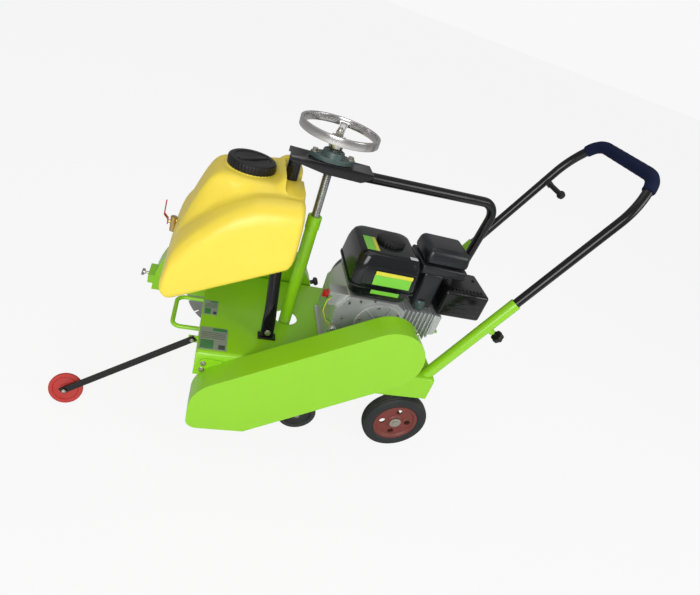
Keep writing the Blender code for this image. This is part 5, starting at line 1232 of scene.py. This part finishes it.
class SAW_OT_stage(bpy.types.Operator):
    """Floor, soft lights and camera"""

    bl_idname = "saw.stage"
    bl_label = "Stage"

    def execute(self, context):
        stage = settings()[1]
        scene = context.scene
        scene.view_settings.view_transform = "Standard"
        side = np.linspace(-FLOOR_REACH, FLOOR_REACH, 13)
        grid = np.stack(np.meshgrid(side, side) + [np.full((13, 13), -0.0002)], -1)
        points, faces = strip(grid, close_u=False, caps=False)
        mesh = bpy.data.meshes.new("floor")
        mesh.from_pydata(points.tolist(), [], faces)
        floor = linked("floor", mesh)
        mesh.materials.append(self.pale_floor())
        world = bpy.data.worlds.new("studio")
        world.use_nodes = True
        tree = world.node_tree
        sky = tree.nodes["Background"]
        seen = add(tree, "ShaderNodeLightPath").outputs["Is Camera Ray"]
        level = add(tree, "ShaderNodeMapRange", {"Value": seen, "To Min": 0.34, "To Max": 0.94})
        sky.inputs["Color"].default_value = (1, 1, 1, 1)
        tree.links.new(level.outputs[0], sky.inputs["Strength"])
        scene.world = world
        lamps = (("key", (-0.9, -2.6, 1.5), 1.6, stage.key), ("fill", (1.9, -1.5, 1.6), 1.2, 18.0),
                 ("top", (-0.2, 0.6, 3.0), 2.2, 12.0))
        for name, place, size, power in lamps:
            light = bpy.data.lights.new(name, "AREA")
            light.energy = power
            light.size = size
            lamp = linked(name, light)
            lamp.location = place
            lamp.rotation_euler = (Vector((0, 0, 0.4)) - Vector(place)).to_track_quat("-Z", "Y").to_euler()
        self.camera(stage, scene)
        return {"FINISHED"}

    def pale_floor(self):
        """A pale matt floor that the camera sees a little brighter than it lights the machine."""
        made = finish("pale floor", (0.86, 0.86, 0.86), 0.7, grain=40, bump=0.0, wear=0.0, dust=0.0,
                      drift=0.01, bare_metal=0.0)
        tree = made.node_tree
        glow = add(tree, "ShaderNodeEmission", {"Color": (1, 1, 1, 1), "Strength": 0.97})
        seen = add(tree, "ShaderNodeLightPath").outputs["Is Camera Ray"]
        share = add(tree, "ShaderNodeMath", {0: seen, 1: 0.91}, operation="MULTIPLY")
        mixed = add(tree, "ShaderNodeMixShader",
                    {0: share.outputs[0], 1: tree.nodes["Principled BSDF"].outputs[0],
                     2: glow.outputs[0]})
        tree.links.new(mixed.outputs[0], tree.nodes["Material Output"].inputs["Surface"])
        return made

    def camera(self, stage, scene):
        """The camera at the eye, turned by heading, then dip, then roll."""
        ahead = Vector((math.sin(stage.heading) * math.cos(stage.dip),
                        math.cos(stage.heading) * math.cos(stage.dip), -math.sin(stage.dip)))
        level = Vector((math.cos(stage.heading), -math.sin(stage.heading), 0))
        above = level.cross(ahead)
        right = level * math.cos(stage.roll) + above * math.sin(stage.roll)
        up = above * math.cos(stage.roll) - level * math.sin(stage.roll)
        lens = bpy.data.cameras.new("camera")
        lens.lens = stage.lens
        lens.sensor_width = 36
        lens.shift_x, lens.shift_y = LENS_SHIFT
        camera = linked("camera", lens)
        turn = Matrix((right, up, -ahead)).transposed()
        camera.matrix_world = Matrix.Translation(Vector(stage.eye)) @ turn.to_4x4()
        scene.camera = camera


class SAW_PT_panel(bpy.types.Panel):
    """Lists the saw's pieces and settings"""

    bl_idname = "SAW_PT_panel"
    bl_label = "Concrete saw"
    bl_space_type = "VIEW_3D"
    bl_region_type = "UI"
    bl_category = "Saw"

    def draw(self, context):
        for step in STEPS:
            self.layout.operator(step.bl_idname)
        for group_of in settings():
            for name in group_of.bl_rna.properties.keys():
                if name not in {"rna_type", "name"}:
                    self.layout.prop(group_of, name)


STEPS = (SAW_OT_stage, SAW_OT_chassis, SAW_OT_handle, SAW_OT_struts, SAW_OT_depth_control, SAW_OT_wheels,
         SAW_OT_tank, SAW_OT_cutting_head, SAW_OT_engine, SAW_OT_guide, SAW_OT_plates)
GROUPS = (PaintSettings, StageSettings, DetailSettings)


def register():
    """Registers the classes and hangs the settings on the scene."""
    for one in GROUPS + STEPS + (SAW_PT_panel,):
        bpy.utils.register_class(one)
    bpy.types.Scene.saw_paint = bpy.props.PointerProperty(type=PaintSettings)
    bpy.types.Scene.saw_stage = bpy.props.PointerProperty(type=StageSettings)
    bpy.types.Scene.saw_detail = bpy.props.PointerProperty(type=DetailSettings)


def unregister():
    """Takes the settings and the classes away again."""
    for name in ("saw_paint", "saw_stage", "saw_detail"):
        delattr(bpy.types.Scene, name)
    for one in reversed(GROUPS + STEPS + (SAW_PT_panel,)):
        bpy.utils.unregister_class(one)


def main():
    """Builds everything in order."""
    register()
    for step in STEPS:
        family, name = step.bl_idname.split(".")
        getattr(getattr(bpy.ops, family), name)()


if __name__ == "__main__":
    main()
